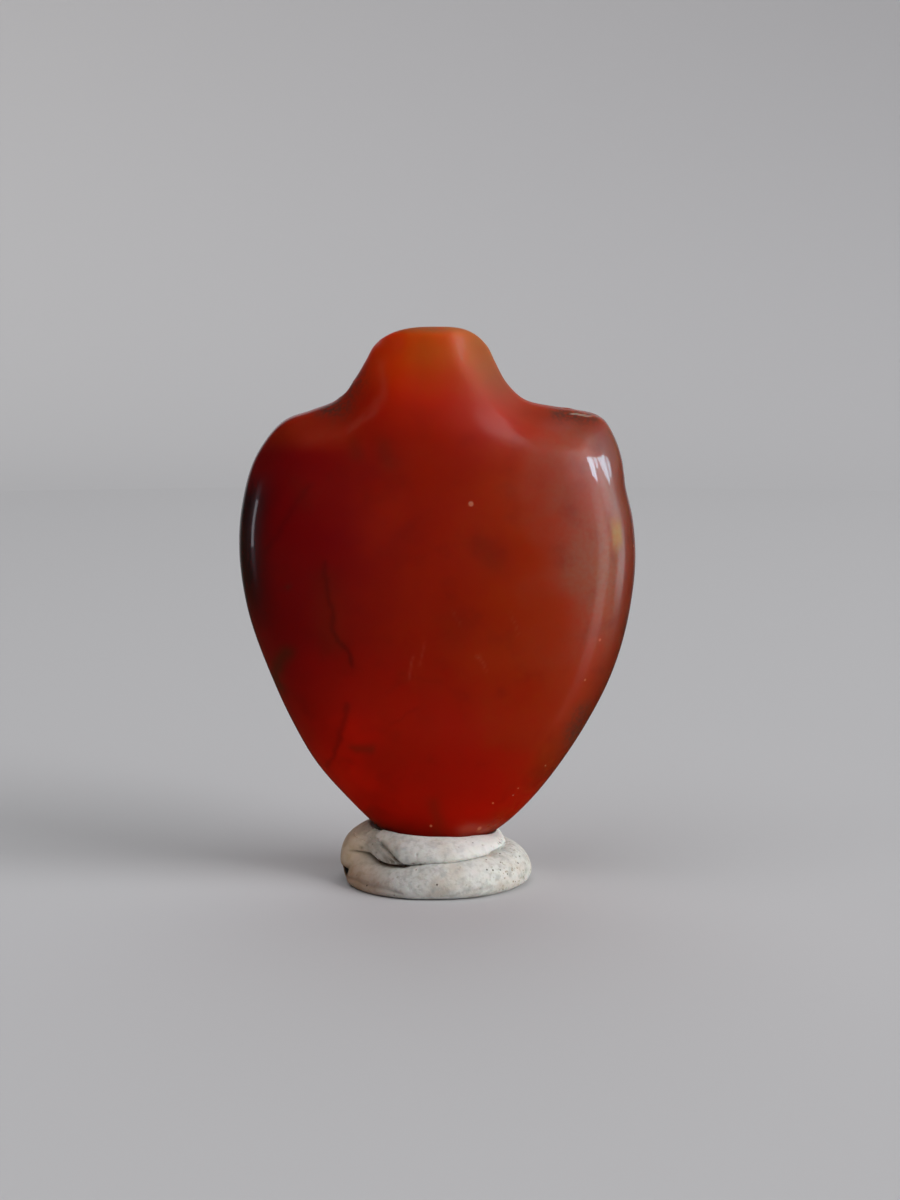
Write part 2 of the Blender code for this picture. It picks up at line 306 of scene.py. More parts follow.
@dataclass(frozen=True)
class Flake:
    """A flake lost from the stone's rim: a long ball bites into the edge.

    Args:
        side: the edge that it is lost from.
        share: its place along that edge, from foot to crown.
        radius: the ball's radius along the edge.
        bite: how deep the ball cuts into the edge.
        through: how far the ball's middle lies towards the back.
        length: how much longer the ball is through the stone.
    """

    side: Side
    share: float
    radius: float
    bite: float
    through: float = 0.0
    length: float = 2.2


@dataclass(frozen=True)
class Crease:
    """A line pressed or folded into the putty's skin.

    Args:
        path: its points, as degrees round the axis from +X towards +Y and height in millimetres.
        width: the distance at which it has risen to about a third, in millimetres.
        depth: its depth on the line, in millimetres.
        grime_and_shade: how much painted shade and dirt lies in it.
    """

    path: Stations
    width: float
    depth: float
    grime_and_shade: float


@dataclass(frozen=True)
class Mark:
    """A thread, a scratched line, a line of painted sheen, a cloud or a weathered place of one face, as a
    soft line through points.

    Args:
        kind: what it is.
        face: the face that shows it.
        path: x and z of its points, in millimetres.
        width: the distance at which it has faded to about a third, in millimetres.
        strength: its value on the line.
    """

    kind: Inclusion
    face: Face
    path: Stations
    width: float
    strength: float


MARKS = (
    Mark(
        Inclusion.THREAD,
        Face.FRONT,
        ((-5.23, 16.15), (-5.08, 14.4), (-4.79, 13.8), (-4.86, 12.9)),
        0.11,
        0.34,
    ),
    Mark(
        Inclusion.THREAD, Face.FRONT, ((-4.86, 12.9), (-4.71, 12.2), (-4.13, 11.7), (-4.06, 11.1)), 0.10, 0.44
    ),
    Mark(Inclusion.THREAD, Face.FRONT, ((-6.1, 19.7), (-7.4, 17.8), (-8.0, 16.6)), 0.16, 0.20),
    Mark(Inclusion.THREAD, Face.FRONT, ((-4.35, 9.2), (-4.57, 8.0), (-4.93, 6.7), (-5.37, 6.0)), 0.14, 0.34),
    Mark(Inclusion.THREAD, Face.FRONT, ((-0.86, 9.1), (-2.3, 8.3)), 0.08, 0.14),
    Mark(Inclusion.THREAD, Face.FRONT, ((-2.5, 9.9), (-1.2, 10.6), (0.1, 10.4)), 0.14, 0.10),
    Mark(Inclusion.CLOUD, Face.FRONT, ((-7.2, 11.7), (-7.7, 11.0), (-7.8, 10.3), (-7.55, 9.8)), 0.32, 0.80),
    Mark(Inclusion.CLOUD, Face.FRONT, ((-5.2, 15.2), (-5.0, 12.2)), 0.75, 0.24),
    Mark(Inclusion.CLOUD, Face.FRONT, ((-5.45, 14.4), (-5.25, 14.1)), 0.26, 0.26),
    Mark(Inclusion.CLOUD, Face.FRONT, ((-4.1, 7.1), (-3.2, 7.05)), 0.20, 0.46),
    Mark(Inclusion.CLOUD, Face.FRONT, ((2.3, 16.7), (2.7, 16.1)), 0.75, 0.18),
    Mark(Inclusion.CLOUD, Face.FRONT, ((0.6, 13.3), (0.9, 12.8)), 0.80, 0.14),
    Mark(Inclusion.CLOUD, Face.FRONT, ((-2.5, 21.7), (-2.2, 20.9)), 0.40, 0.30),
    Mark(Inclusion.CLOUD, Face.FRONT, ((-4.0, 21.8), (-3.8, 21.2)), 0.28, 0.26),
    Mark(Inclusion.CLOUD, Face.FRONT, ((-6.7, 19.9), (-6.1, 18.8)), 0.45, 0.14),
    Mark(Inclusion.CLOUD, Face.FRONT, ((-0.15, 4.4), (0.1, 3.4), (-0.1, 2.6)), 0.30, 0.30),
    Mark(Inclusion.CLOUD, Face.FRONT, ((-3.3, 3.6), (-2.9, 2.9)), 0.22, 0.30),
    Mark(Inclusion.WEATHERING, Face.FRONT, ((-4.0, 24.7), (-4.35, 24.0), (-4.75, 23.4)), 0.62, 0.74),
    Mark(Inclusion.WEATHERING, Face.FRONT, ((-5.5, 23.2), (-4.9, 23.2)), 0.34, 0.85),
    Mark(Inclusion.WEATHERING, Face.FRONT, ((-7.1, 14.9), (-7.0, 14.8)), 0.14, 0.34),
    Mark(Inclusion.WEATHERING, Face.FRONT, ((7.05, 8.8), (6.85, 8.1), (6.45, 7.4)), 0.42, 0.55),
    Mark(Inclusion.WEATHERING, Face.FRONT, ((9.0, 12.3), (9.2, 13.3)), 0.30, 0.32),
    Mark(Inclusion.WEATHERING, Face.FRONT, ((5.7, 23.0), (7.5, 22.8)), 0.34, 0.75),
    Mark(Inclusion.SCRATCH_AND_SHEEN, Face.FRONT, ((-0.6, 12.3), (-0.8, 11.2)), 0.05, 0.12),
    Mark(Inclusion.SCRATCH_AND_SHEEN, Face.FRONT, ((-1.15, 11.6), (-1.25, 10.5)), 0.05, 0.15),
    Mark(Inclusion.SCRATCH_AND_SHEEN, Face.FRONT, ((1.9, 11.6), (2.2, 10.9)), 0.05, 0.20),
    Mark(Inclusion.SCRATCH_AND_SHEEN, Face.FRONT, ((0.7, 13.9), (1.1, 12.9)), 0.04, 0.14),
    Mark(Inclusion.SCRATCH_AND_SHEEN, Face.FRONT, ((3.4, 13.7), (3.9, 12.6)), 0.04, 0.16),
    Mark(Inclusion.SCRATCH_AND_SHEEN, Face.FRONT, ((1.98, 2.80), (2.20, 2.72), (2.45, 2.74)), 0.13, 0.50),
    Mark(Inclusion.SCRATCH_AND_SHEEN, Face.FRONT, ((1.2, 3.0), (2.2, 2.90), (2.9, 2.85)), 0.34, 0.26),
    # These two lines are painted sheen along the ridge of the neck's left side and its shoulder, carried in
    # the scratch layer.
    Mark(
        Inclusion.SCRATCH_AND_SHEEN, Face.FRONT, ((-2.55, 25.3), (-2.6, 23.9), (-3.2, 23.0), (-4.1, 22.45)), 0.22, 0.12
    ),
    Mark(Inclusion.SCRATCH_AND_SHEEN, Face.FRONT, ((-4.1, 22.45), (-6.0, 21.8)), 0.30, 0.04),
    Mark(Inclusion.CLOUD, Face.BACK, ((3.1, 17.4), (2.1, 15.2)), 0.90, 0.32),
    Mark(Inclusion.CLOUD, Face.BACK, ((-4.6, 12.0), (-3.8, 10.2)), 0.70, 0.26),
    Mark(Inclusion.THREAD, Face.BACK, ((4.2, 14.6), (3.4, 12.9), (3.1, 11.4)), 0.12, 0.34),
    Mark(Inclusion.WEATHERING, Face.BACK, ((-3.9, 24.4), (-4.4, 23.5)), 0.40, 0.36),
)

CREASES = (
    Crease(
        ((-145.1, 2.33), (-135.9, 2.14), (-128.9, 1.93), (-122.6, 1.68), (-118.5, 1.42)), 0.07, 0.08, 0.42
    ),
    Crease(((-160.0, 2.20), (-148.0, 1.98), (-136.0, 1.62)), 0.10, 0.04, 0.16),
    Crease(((-179.0, 0.70), (-165.0, 0.62)), 0.15, 0.30, 1.8),
    Crease(((-178.0, 0.62), (-170.0, 0.38)), 0.11, 0.30, 1.8),
    Crease(
        ((-168.0, 0.40), (-149.0, 0.49), (-137.7, 0.42), (-123.3, 0.42), (-112.0, 0.27)), 0.10, 0.07, 0.18
    ),
    Crease(((-44.0, 1.86), (-34.0, 1.98), (-22.0, 2.06)), 0.20, 0.10, 0.10),
    Crease(((-26.0, 2.00), (-12.0, 2.04), (4.0, 1.98), (24.0, 1.90)), 0.17, 0.20, 0.06),
    Crease(((-75.0, 0.42), (-60.0, 0.50), (-44.0, 0.47)), 0.10, 0.02, 0.05),
    Crease(((60.0, 2.05), (72.0, 1.85), (84.0, 1.95)), 0.10, 0.06, 0.25),
    Crease(((150.0, 0.55), (133.0, 0.62), (118.0, 0.50)), 0.08, 0.05, 0.20),
)

FLAKES = (
    Flake(Side.RIGHT, 0.800, 1.2 * MM, 0.05 * MM),
    Flake(Side.RIGHT, 0.640, 1.6 * MM, 0.09 * MM),
    Flake(Side.LEFT, 0.905, 0.8 * MM, 0.12 * MM),
    Flake(Side.RIGHT, 0.772, 0.60 * MM, 0.07 * MM, -0.40 * MM, 1.4),
    Flake(Side.RIGHT, 0.755, 0.40 * MM, 0.05 * MM, -0.35 * MM, 1.2),
    Flake(Side.RIGHT, 0.815, 0.55 * MM, 0.07 * MM, -0.45 * MM, 1.2),
    Flake(Side.RIGHT, 0.668, 0.60 * MM, 0.06 * MM, -0.45 * MM, 1.3),
    Flake(Side.RIGHT, 0.648, 0.40 * MM, 0.07 * MM, -0.50 * MM, 1.3),
    Flake(Side.RIGHT, 0.612, 0.50 * MM, 0.06 * MM, -0.45 * MM, 1.5),
    Flake(Side.RIGHT, 0.545, 0.30 * MM, 0.04 * MM, -0.40 * MM, 1.0),
    Flake(Side.LEFT, 0.920, 0.35 * MM, 0.06 * MM, -0.30 * MM, 1.2),
    Flake(Side.LEFT, 0.700, 0.30 * MM, 0.03 * MM, 0.50 * MM, 1.0),
    Flake(Side.LEFT, 0.340, 0.35 * MM, 0.03 * MM, 0.45 * MM, 1.0),
    Flake(Side.RIGHT, 0.220, 0.30 * MM, 0.03 * MM, 0.30 * MM, 1.0),
)


@dataclass
class HeartStone:
    """The carved carnelian heart: a flat pillow with a narrow foot, broad shoulders, a waisted neck and a
    flat crown.

    Args:
        low: the solid's lowest corner.
        high: the solid's highest corner.
    The other fields are the form's own sizes, in metres or as shares of width and height.
    """

    low: Vector
    high: Vector
    crown_rise: float = 0.64 * MM
    crown_rounding: float = 0.55 * MM
    crown_flatness: float = 3.1
    foot_rounding: float = 0.5 * MM
    dome_reach: float = 5.6 * MM
    neck_reach: float = 1.8 * MM
    neck_start: tuple[float, float] = (0.78, 0.91)
    dome_squareness: float = 2.5
    bevel_start: float = 0.95 * MM
    bevel_slope: float = 1.25
    neck_slope_left: float = 1.35
    neck_slope_right: float = 1.80
    neck_turn: float = 1.0 * MM
    bevel_softness: float = 0.35 * MM
    crown_softness: float = 1.05 * MM
    crown_start: tuple[float, float] = (0.83, 0.945)
    bevel_fade: tuple[float, float] = (0.62, 0.79)
    bevel_lift: float = 1.0 * MM
    fullness: Stations = ((0.00, 0.68), (0.25, 0.88), (0.55, 1.00), (0.79, 0.93), (0.92, 0.75), (1.00, 0.70))
    left_edge: Stations = (
        (0.240, 0.000),  # foot corner
        (0.338, 0.033),
        (0.440, 0.073),
        (0.621, 0.154),
        (0.741, 0.234),
        (0.834, 0.313),
        (0.970, 0.471),
        (1.000, 0.573),  # widest point
        (0.985, 0.655),
        (0.894, 0.764),
        (0.758, 0.823),  # shoulder
        (0.630, 0.841),
        (0.505, 0.861),
        (0.420, 0.898),  # neck
        (0.357, 0.937),
        (0.318, 0.963),
        (0.288, 0.9744),  # crown corner
    )
    right_edge: Stations = (
        (0.240, 0.000),  # foot corner
        (0.358, 0.033),
        (0.465, 0.073),
        (0.633, 0.154),
        (0.765, 0.234),
        (0.869, 0.313),
        (0.980, 0.471),
        (1.000, 0.575),  # widest point
        (0.986, 0.632),
        (0.948, 0.695),  # flat worn along the edge
        (0.925, 0.748),
        (0.890, 0.787),
        (0.828, 0.824),
        (0.700, 0.841),  # shoulder
        (0.580, 0.847),
        (0.425, 0.863),
        (0.345, 0.893),  # neck
        (0.285, 0.935),
        (0.248, 0.963),
        (0.222, 0.9744),  # crown corner
    )
    edge_run_on: float = 10.0 * MM
    unevenness: tuple[tuple[float, float], ...] = ((4.5 * MM, 0.022 * MM), (1.9 * MM, 0.006 * MM))
    swell_seed: int = 3
    mark_bends: tuple[tuple[float, float, tuple[int, int]], ...] = (
        (1.1 * MM, 0.16, (21, 22)),  # grain, reach in millimetres, seeds for x and z
        (0.3 * MM, 0.07, (23, 24)),
    )
    mark_fade: float = 0.6 * MM
    scar_grain: float = 0.35 * MM
    scar_roughness: float = 0.012 * MM
    scar_seed: int = 40
    edge_samples: int = 240
    rows: int = 212
    end_rows: int = 8
    columns: int = 190
    trial_columns: int = 90
    cap_steps: int = 24

    @property
    def height(self) -> float:
        """The stone's height."""
        return self.high.z - self.low.z

    @property
    def half_width(self) -> float:
        """Half of the stone's width."""
        return (self.high.x - self.low.x) / 2

    @property
    def half_depth(self) -> float:
        """Half of the stone's thickness."""
        return (self.high.y - self.low.y) / 2

    @cached_property
    def edges(self) -> dict[Side, Array]:
        """Both side edges, from foot to crown.

        Returns:
            Rows of x and z for each side.
        """
        shares = {Side.LEFT: self.left_edge, Side.RIGHT: self.right_edge}
        scale = {side: (side.value * self.half_width, self.height) for side in Side}
        return {
            side: curve_through(np.array(shares[side]) * scale[side] + (0.0, self.low.z), self.edge_samples)
            for side in Side
        }

    def edge_distance(self, x: Array, z: Array) -> Array:
        """How far (x, z) lies inside the side edges, smooth also midway between them.

        Each straight piece of edge adds its integral of 1/r^3. One long straight edge sums to 2/d^2, so
        (2/sum)^0.5 is the true distance near an edge and rounds off gently in the middle.

        Args:
            x: places along the width.
            z: places up the height.
        Returns:
            The distance at each place.
        """
        place = np.stack([x.ravel(), z.ravel()], axis=-1)[:, None, :]
        total = np.zeros(len(place))
        run_on = (0.0, self.edge_run_on)
        for edge in self.edges.values():
            line = np.vstack([edge[0] - run_on, edge, edge[-1] + run_on])
            pieces = np.diff(line, axis=0)
            along = pieces / np.linalg.norm(pieces, axis=1)[:, None]
            for first in range(0, len(place), POINTS_AT_ONCE):
                here = slice(first, first + POINTS_AT_ONCE)
                from_start = line[:-1] - place[here]
                start = (from_start * along).sum(axis=-1)
                end = start + np.linalg.norm(pieces, axis=1)
                off_line = np.maximum((from_start**2).sum(axis=-1) - start**2, ON_THE_EDGE)
                swept = end / np.sqrt(end**2 + off_line) - start / np.sqrt(start**2 + off_line)
                total[here] += (swept / off_line).sum(axis=-1)
        return np.sqrt(2.0 / total).reshape(x.shape)

    def crown_line(self, x: Array) -> Array:
        """The height of the crown's top over x: its highest point less crown_rise |x/corner|^crown_flatness.

        Args:
            x: places along the width.
        Returns:
            The height at each place.
        """
        corner = np.where(x < 0, self.edges[Side.LEFT][-1, 0], self.edges[Side.RIGHT][-1, 0])
        share = np.clip(x / corner, 0.0, 1.0)
        return self.high.z - self.crown_rise * share**self.crown_flatness

    def half_thickness(self, x: Array, z: Array) -> Array:
        """The distance from the stone's middle plane to its face at (x, z).

        A square-shouldered dome, (1 - (1 - d/reach)^n)^(1/n) of the edge distance d, rises from the edges,
        in a shorter reach on the neck. A straight bevel cuts its rim round neck and shoulders, steeper on
        the neck and rubbed rounder on the crown. Crown and foot round over by a quarter circle.

        Args:
            x: places along the width.
            z: places up the height.
        Returns:
            The half thickness at each place.
        """
        inside = self.edge_distance(x, z)
        up = (z - self.low.z) / self.height
        power = self.dome_squareness
        reach = self.dome_reach + (self.neck_reach - self.dome_reach) * smooth_share(up, *self.neck_start)
        fall = (1.0 - np.clip(inside / reach, 0.0, 1.0)) ** power
        dome = self.half_depth * (1.0 - fall) ** (1.0 / power) * smooth_steps(up, self.fullness)
        neck_slope = self.neck_slope_left + (self.neck_slope_right - self.neck_slope_left) * smooth_share(
            x, -self.neck_turn, self.neck_turn
        )
        slope = self.bevel_slope + (neck_slope - self.bevel_slope) * smooth_share(up, *self.neck_start)
        bevelled = smooth_share(up, *self.bevel_fade)
        bevel = self.bevel_start + slope * inside + (1.0 - bevelled) * self.bevel_lift
        softer = (self.crown_softness - self.bevel_softness) * smooth_share(up, *self.crown_start)
        face = np.maximum((dome + bevel - np.hypot(dome - bevel, self.bevel_softness + softer)) / 2, 0.0)
        ends = ((self.crown_line(x) - z, self.crown_rounding), (z - self.low.z, self.foot_rounding))
        for distance, radius in ends:
            u = np.clip(distance / radius, 0.0, 1.0)
            taken = radius * face / (radius + face)
            face = face - taken * (1.0 - np.sqrt(1.0 - (1.0 - u) ** 2))
        return face

    def row_place(self, share: Array, across: Array) -> tuple[Array, Array]:
        """The place on a row: from the left edge at -1, over the middle at 0, to the right edge at 1.

        A row meets both edges at the same share of their length and passes the middle at that share of the
        height, with |across|^crown_flatness between.

        Args:
            share: a column with the share of each row.
            across: the places across, for each row.
        Returns:
            x and z.
        """
        samples = np.arange(self.edge_samples)
        ends = {
            side: [np.interp(share * (self.edge_samples - 1), samples, edge[:, axis]) for axis in range(2)]
            for side, edge in self.edges.items()
        }
        out = np.abs(across)
        middle = self.low.z + self.height * share
        x = np.where(across < 0, ends[Side.LEFT][0], ends[Side.RIGHT][0]) * out
        end_height = np.where(across < 0, ends[Side.LEFT][1], ends[Side.RIGHT][1])
        return x, middle + (end_height - middle) * out**self.crown_flatness

    def face_grid(self) -> tuple[Array, Array, Array]:
        """The rows of one face, with columns spaced evenly along its skin.

        A trial grid, denser at the rim by the dome's own power, measures how long each row is over the face.

        Returns:
            x, z and half thickness, rows by columns.
        """
        rounding = 1.0 - np.cos(np.linspace(0.0, math.pi / 2, self.end_rows + 1))[:-1]
        foot_share = self.foot_rounding / self.height
        crown_share = self.crown_rounding / self.height
        body = np.linspace(foot_share, 1.0 - crown_share, self.rows)
        share = np.concatenate([rounding * foot_share, body, 1.0 - rounding[::-1] * crown_share])[:, None]
        u = np.linspace(-1.0, 1.0, self.trial_columns + 1)
        trial = np.sign(u) * (1.0 - (1.0 - np.abs(u)) ** self.dome_squareness)
        x, z = self.row_place(share, np.broadcast_to(trial, (len(share), len(trial))))
        y = self.half_thickness(x, z)
        y[:, [0, -1]] = 0.0
        steps = np.linalg.norm(np.diff(np.stack([x, y, z]), axis=2), axis=0)
        walked = np.concatenate([np.zeros((len(share), 1)), np.cumsum(steps, axis=1)], axis=1)
        even = np.linspace(0.0, 1.0, self.columns + 1)
        across = np.stack([np.interp(even * row[-1], row, trial) for row in walked])
        x, z = self.row_place(share, across)
        y = self.half_thickness(x, z)
        y[:, [0, -1]] = 0.0
        return x, z, y

    def uneven(self, rings: Array) -> Array:
        """Lets the polish swell and sink a little, as a stone rubbed by hand does.

        Soft noise of each grain moves the skin along its normal.

        Args:
            rings: closed rows of points.
        Returns:
            The moved points.
        """
        normals = grid_normals(rings, closed=True)
        swell = sum(
            depth * soft_noise(rings, grain, seed)
            for seed, (grain, depth) in enumerate(self.unevenness, start=self.swell_seed)
        )
        return rings + normals * swell[..., None]

    def flaked(self, rings: Array) -> tuple[Array, Array]:
        """Cuts the lost flakes: what lies in a flake's ball moves out along the ball's radius onto its skin.

        Args:
            rings: closed rows of points.
        Returns:
            The points, and 1 where a flake is lost and 0 elsewhere.
        """
        scars = np.zeros(rings.shape[:-1])
        for number, flake in enumerate(FLAKES):
            edge = self.edges[flake.side]
            here = round(flake.share * (self.edge_samples - 1))
            along = edge[here + 1] - edge[here - 1]
            outwards = flake.side.value * np.array([along[1], -along[0]]) / np.linalg.norm(along)
            middle = edge[here] + outwards * (flake.radius - flake.bite)
            ball = np.array([middle[0], flake.through, middle[1]])
            radii = flake.radius * np.array([1.0, flake.length, 1.0])
            rough = self.scar_roughness * soft_noise(rings, self.scar_grain, self.scar_seed + number)
            reach = np.linalg.norm((rings - ball) / radii, axis=-1) - rough / flake.radius
            cut = reach < 1.0
            moved = ball + (rings - ball) / np.maximum(reach, ON_THE_EDGE)[..., None]
            rings = np.where(cut[..., None], moved, rings)
            scars = np.where(cut, 1.0, scars)
        return rings, scars

    def cap(self, rings: Array, row: int, first_free: int) -> tuple[Array, Array]:
        """The flat foot or crown: straight lines from the front of its row to the back.

        Args:
            rings: closed rows of points, the front from left to right and then the back.
            row: 0 for the foot or -1 for the crown.
            first_free: the first vertex number that is not taken.
        Returns:
            The new inner points, and the cap's grid of vertex numbers, columns by steps.
        """
        around = rings.shape[1]
        base = (rings.shape[0] - 1) * around if row else 0
        front = np.arange(1, self.columns)
        back = (around - front) % around
        u = np.linspace(0.0, 1.0, self.cap_steps + 1)[1:-1, None]
        inner = rings[row, front][:, None] * (1.0 - u) + rings[row, back][:, None] * u
        numbers = first_free + np.arange(inner.shape[0] * inner.shape[1]).reshape(inner.shape[:2])
        middle = np.hstack([front[:, None] + base, numbers, back[:, None] + base])
        left = np.full((1, self.cap_steps + 1), base)
        right = np.full((1, self.cap_steps + 1), base + self.columns)
        return inner.reshape(-1, 3), np.vstack([left, middle, right])

    def marks(self, points: Array) -> dict[str, Array]:
        """The strength of threads, scratched lines, painted sheen, clouds and weathering at each point.

        Each mark fades as exp(-(d/width)^2) of the distance d to its line, measured in x and z after soft
        noise has bent the place, and fades out through the rim.

        Args:
            points: a row for each vertex.
        Returns:
            Values between 0 and 1 by attribute name.
        """
        layers = {kind.value: np.zeros(len(points)) for kind in Inclusion}
        place = points[:, [0, 2]] / MM
        for grain, reach, seeds in self.mark_bends:
            place = place + reach * np.stack([soft_noise(points, grain, seed) for seed in seeds], axis=-1)
        for mark in MARKS:
            distance = distance_to_line(place, np.array(mark.path))
            shown = smooth_share(points[:, 1] * mark.face.value, 0.0, self.mark_fade)
            value = mark.strength * np.exp(-((distance / mark.width) ** 2)) * shown
            layer = layers[mark.kind.value]
            np.maximum(layer, value, out=layer)
        return layers

    def build(self) -> bpy.types.Object:
        """Builds the stone's mesh: front and back rows closed into rings, with a cap at foot and crown.

        Returns:
            The stone's object.
        """
        x, z, y = self.face_grid()
        front = np.stack([x, -y, z], axis=-1)
        back = np.stack([x, y, z], axis=-1)[:, -2:0:-1]
        rings = self.uneven(np.concatenate([front, back], axis=1))
        rings, scars = self.flaked(rings)
        count, around = rings.shape[:2]
        points = rings.reshape(-1, 3)
        index = np.arange(count * around).reshape(count, around)
        faces = grid_faces(np.hstack([index, index[:, :1]]))
        for row, turned in ((0, False), (-1, True)):
            inner, numbers = self.cap(rings, row, len(points))
            points = np.vstack([points, inner])
            faces += grid_faces(numbers[::-1] if turned else numbers)
        bare = np.zeros(len(points) - scars.size)
        layers = {
            "scars": np.concatenate([scars.ravel(), bare]),
            "from_edge": self.edge_distance(points[:, 0], points[:, 2]) / MM,
            **self.marks(points),
        }
        return add_piece("polished_heart", points, faces, layers)


@dataclass
class PuttyRope:
    """The hand-rolled rope of putty in two turns, one inside and on top of the other, round the stone's foot.

    Args:
        stone: the stone that is pressed into it.
        low: the solid's lowest corner.
    The other fields are the rope's own sizes, in metres, and its uneven shape round the axis as pairs of
    degrees from +X towards +Y and a share of the size. How far something lies round the axis is in degrees:
    the seam's wall and reach, the turn of the lobe's darkening, and the middle and ends of the crease's
    painted shade.
    """

    stone: HeartStone
    low: Vector
    lower_height: float = 1.75 * MM
    upper_height: float = 0.80 * MM
    seat_depth: float = 0.45 * MM
    lip_wall: float = 0.45 * MM
    crease_depth: float = 0.30 * MM
    coil_step: float = 0.90 * MM
    ground_tuck: float = 0.60 * MM
    solid_gap: float = 0.30 * MM
    skin_gap: float = 0.02 * MM
    lip_edge: float = 0.10 * MM
    crease_rise: Stations = (
        (-174, 0.95),
        (-135, 0.72),
        (-88, 0.93),
        (-50, 1.01),
        (-24, 1.10),
        (8, 1.0),
        (60, 0.96),
        (110, 1.02),
    )
    crease_sink: Stations = (
        (-150, 1.4),
        (-120, 1.4),
        (-90, 0.7),
        (-60, 0.9),
        (-35, 1.3),
        (40, 0.9),
        (180, 0.9),
    )
    lip_rise: Stations = (
        (-135, 1.04),
        (-90, 1.03),
        (-50, 1.00),
        (-12, 0.95),
        (90, 1.00),
        (150, 1.08),
        (180, 1.14),
    )
    lower_reach: Stations = ((-90, 1.00), (-15, 1.01), (90, 0.99), (180, 1.04), (235, 1.00))
    upper_reach: Stations = ((-30, 1.00), (0, 0.92), (45, 0.97), (115, 1.00), (180, 1.05), (206, 1.00))
    merging: Stations = ((-156, 0.0), (-171, 1.0), (165, 1.0), (125, 0.0))
    merged_fullness: float = 3.5
    tuck: Stations = ((-90, 1.1), (-20, 1.0), (90, 1.0), (180, 0.9), (225, 0.5), (250, 0.8))
    stations: int = 620
    roll_steps: int = 40
    lip_steps: int = 10
    floor_steps: int = 8
    halvings: int = 20
    unevenness: tuple[tuple[float, float], ...] = (
        (1.7 * MM, 0.050 * MM),
        (0.7 * MM, 0.022 * MM),
        (0.3 * MM, 0.010 * MM),
    )
    knead_seed: int = 60
    seam: Stations = (
        (1.42, -118.5),
        (1.68, -122.6),
        (1.93, -128.9),
        (2.14, -135.9),
        (2.33, -145.1),
        (2.50, -155.0),
    )
    cut: float = 165.0
    skin_start: tuple[float, float] = (2.0 * MM, 3.0 * MM)
    level_foot: float = 0.3 * MM
    seam_start: tuple[float, float] = (2.6 * MM, 3.4 * MM)
    seam_wall: tuple[float, float] = (-0.6, 1.4)
    seam_step: float = 0.17 * MM
    seam_reach: float = 36.0
    above_crease: float = 0.15 * MM
    lobe_shares: tuple[float, float] = (0.6, 1.3)
    lobe_darkening: float = 0.02
    seam_foot_darkening: float = 0.95
    darkening_turn: tuple[float, float] = (26.0, 1.0)
    darkening_height: tuple[float, float] = (0.75 * MM, 0.05 * MM)
    most_darkened: float = 0.76
    crease_shade: float = 0.62
    crease_cut: float = 0.05 * MM
    crease_width: float = 0.055 * MM
    crease_middle: float = -140.0
    crease_ends: tuple[float, float] = (29.0, 23.0)
    crease_bend: float = 0.05
    crease_grain: float = 0.8 * MM
    bend_seed: int = 70
    striation: float = 0.11 * MM
    striation_depth: float = 0.036 * MM
    ridge_seed: int = 71
    pit_seed: int = 11
    pit_count: int = 60
    pit_depth: float = 0.040 * MM
    pit_width: float = 0.060 * MM
    pit_sizes: tuple[float, float] = (0.4, 1.2)
    pit_grime: float = 0.5
    pits_below: float = 2.5 * MM

    @property
    def foot_height(self) -> float:
        """The height at which the stone's foot stands."""
        return self.lower_height + self.upper_height - self.seat_depth

    @cached_property
    def degrees(self) -> Array:
        """The stations' directions round the axis."""
        return np.linspace(-180.0, 180.0, self.stations, endpoint=False)

    def foot_reach(self, height: Array) -> Array:
        """How far the stone reaches from the axis in each direction at these heights, by halving steps.

        Args:
            height: a height for each station.
        Returns:
            The reach for each station.
        """
        turn = np.radians(self.degrees)
        left, right = (np.interp(height, edge[:, 1], edge[:, 0]) for edge in self.stone.edges.values())
        near = np.zeros(turn.shape)
        far = np.full(turn.shape, self.stone.half_width)
        for _ in range(self.halvings):
            reach = (near + far) / 2
            x = reach * np.cos(turn)
            face = self.stone.half_thickness(np.clip(x, left, right), height)
            inside = (x > left) & (x < right) & (np.abs(reach * np.sin(turn)) < face)
            near = np.where(inside, reach, near)
            far = np.where(inside, far, reach)
        return near

    @staticmethod
    def roll(
        start: tuple[Array, Array], end: tuple[Array, Array], reach: Array, steps: int, fullness: float = 1.0
    ) -> tuple[Array, Array]:
        """A roll's flank: half an ellipse on the line between two (radius, height) points, out to the reach.

        It is level at both ends, so that two rolls meet in a crease. The line leans in as the share of the
        height to the power of the fullness. The end point is left to the next.

        Args:
            start: radius and height of the lower end.
            end: radius and height of the upper end.
            reach: the radius of the furthest point.
            steps: how many rows.
            fullness: 1 for a straight lean, more for a roll that is fuller at its top.
        Returns:
            Radius and height, rows by stations.
        """
        middle = start[0] + (end[0] - start[0]) * 0.5**fullness
        lean = (end[0] - start[0]) * 0.5**fullness
        bulge = np.sqrt(np.maximum((reach - middle) ** 2 - lean**2, 0.0))
        angle = np.linspace(-math.pi / 2, math.pi / 2, steps, endpoint=False)[:, None]
        share = (1.0 + np.sin(angle)) / 2
        radius = start[0] + (end[0] - start[0]) * share**fullness + bulge * np.cos(angle)
        return radius, start[1] + (end[1] - start[1]) * share

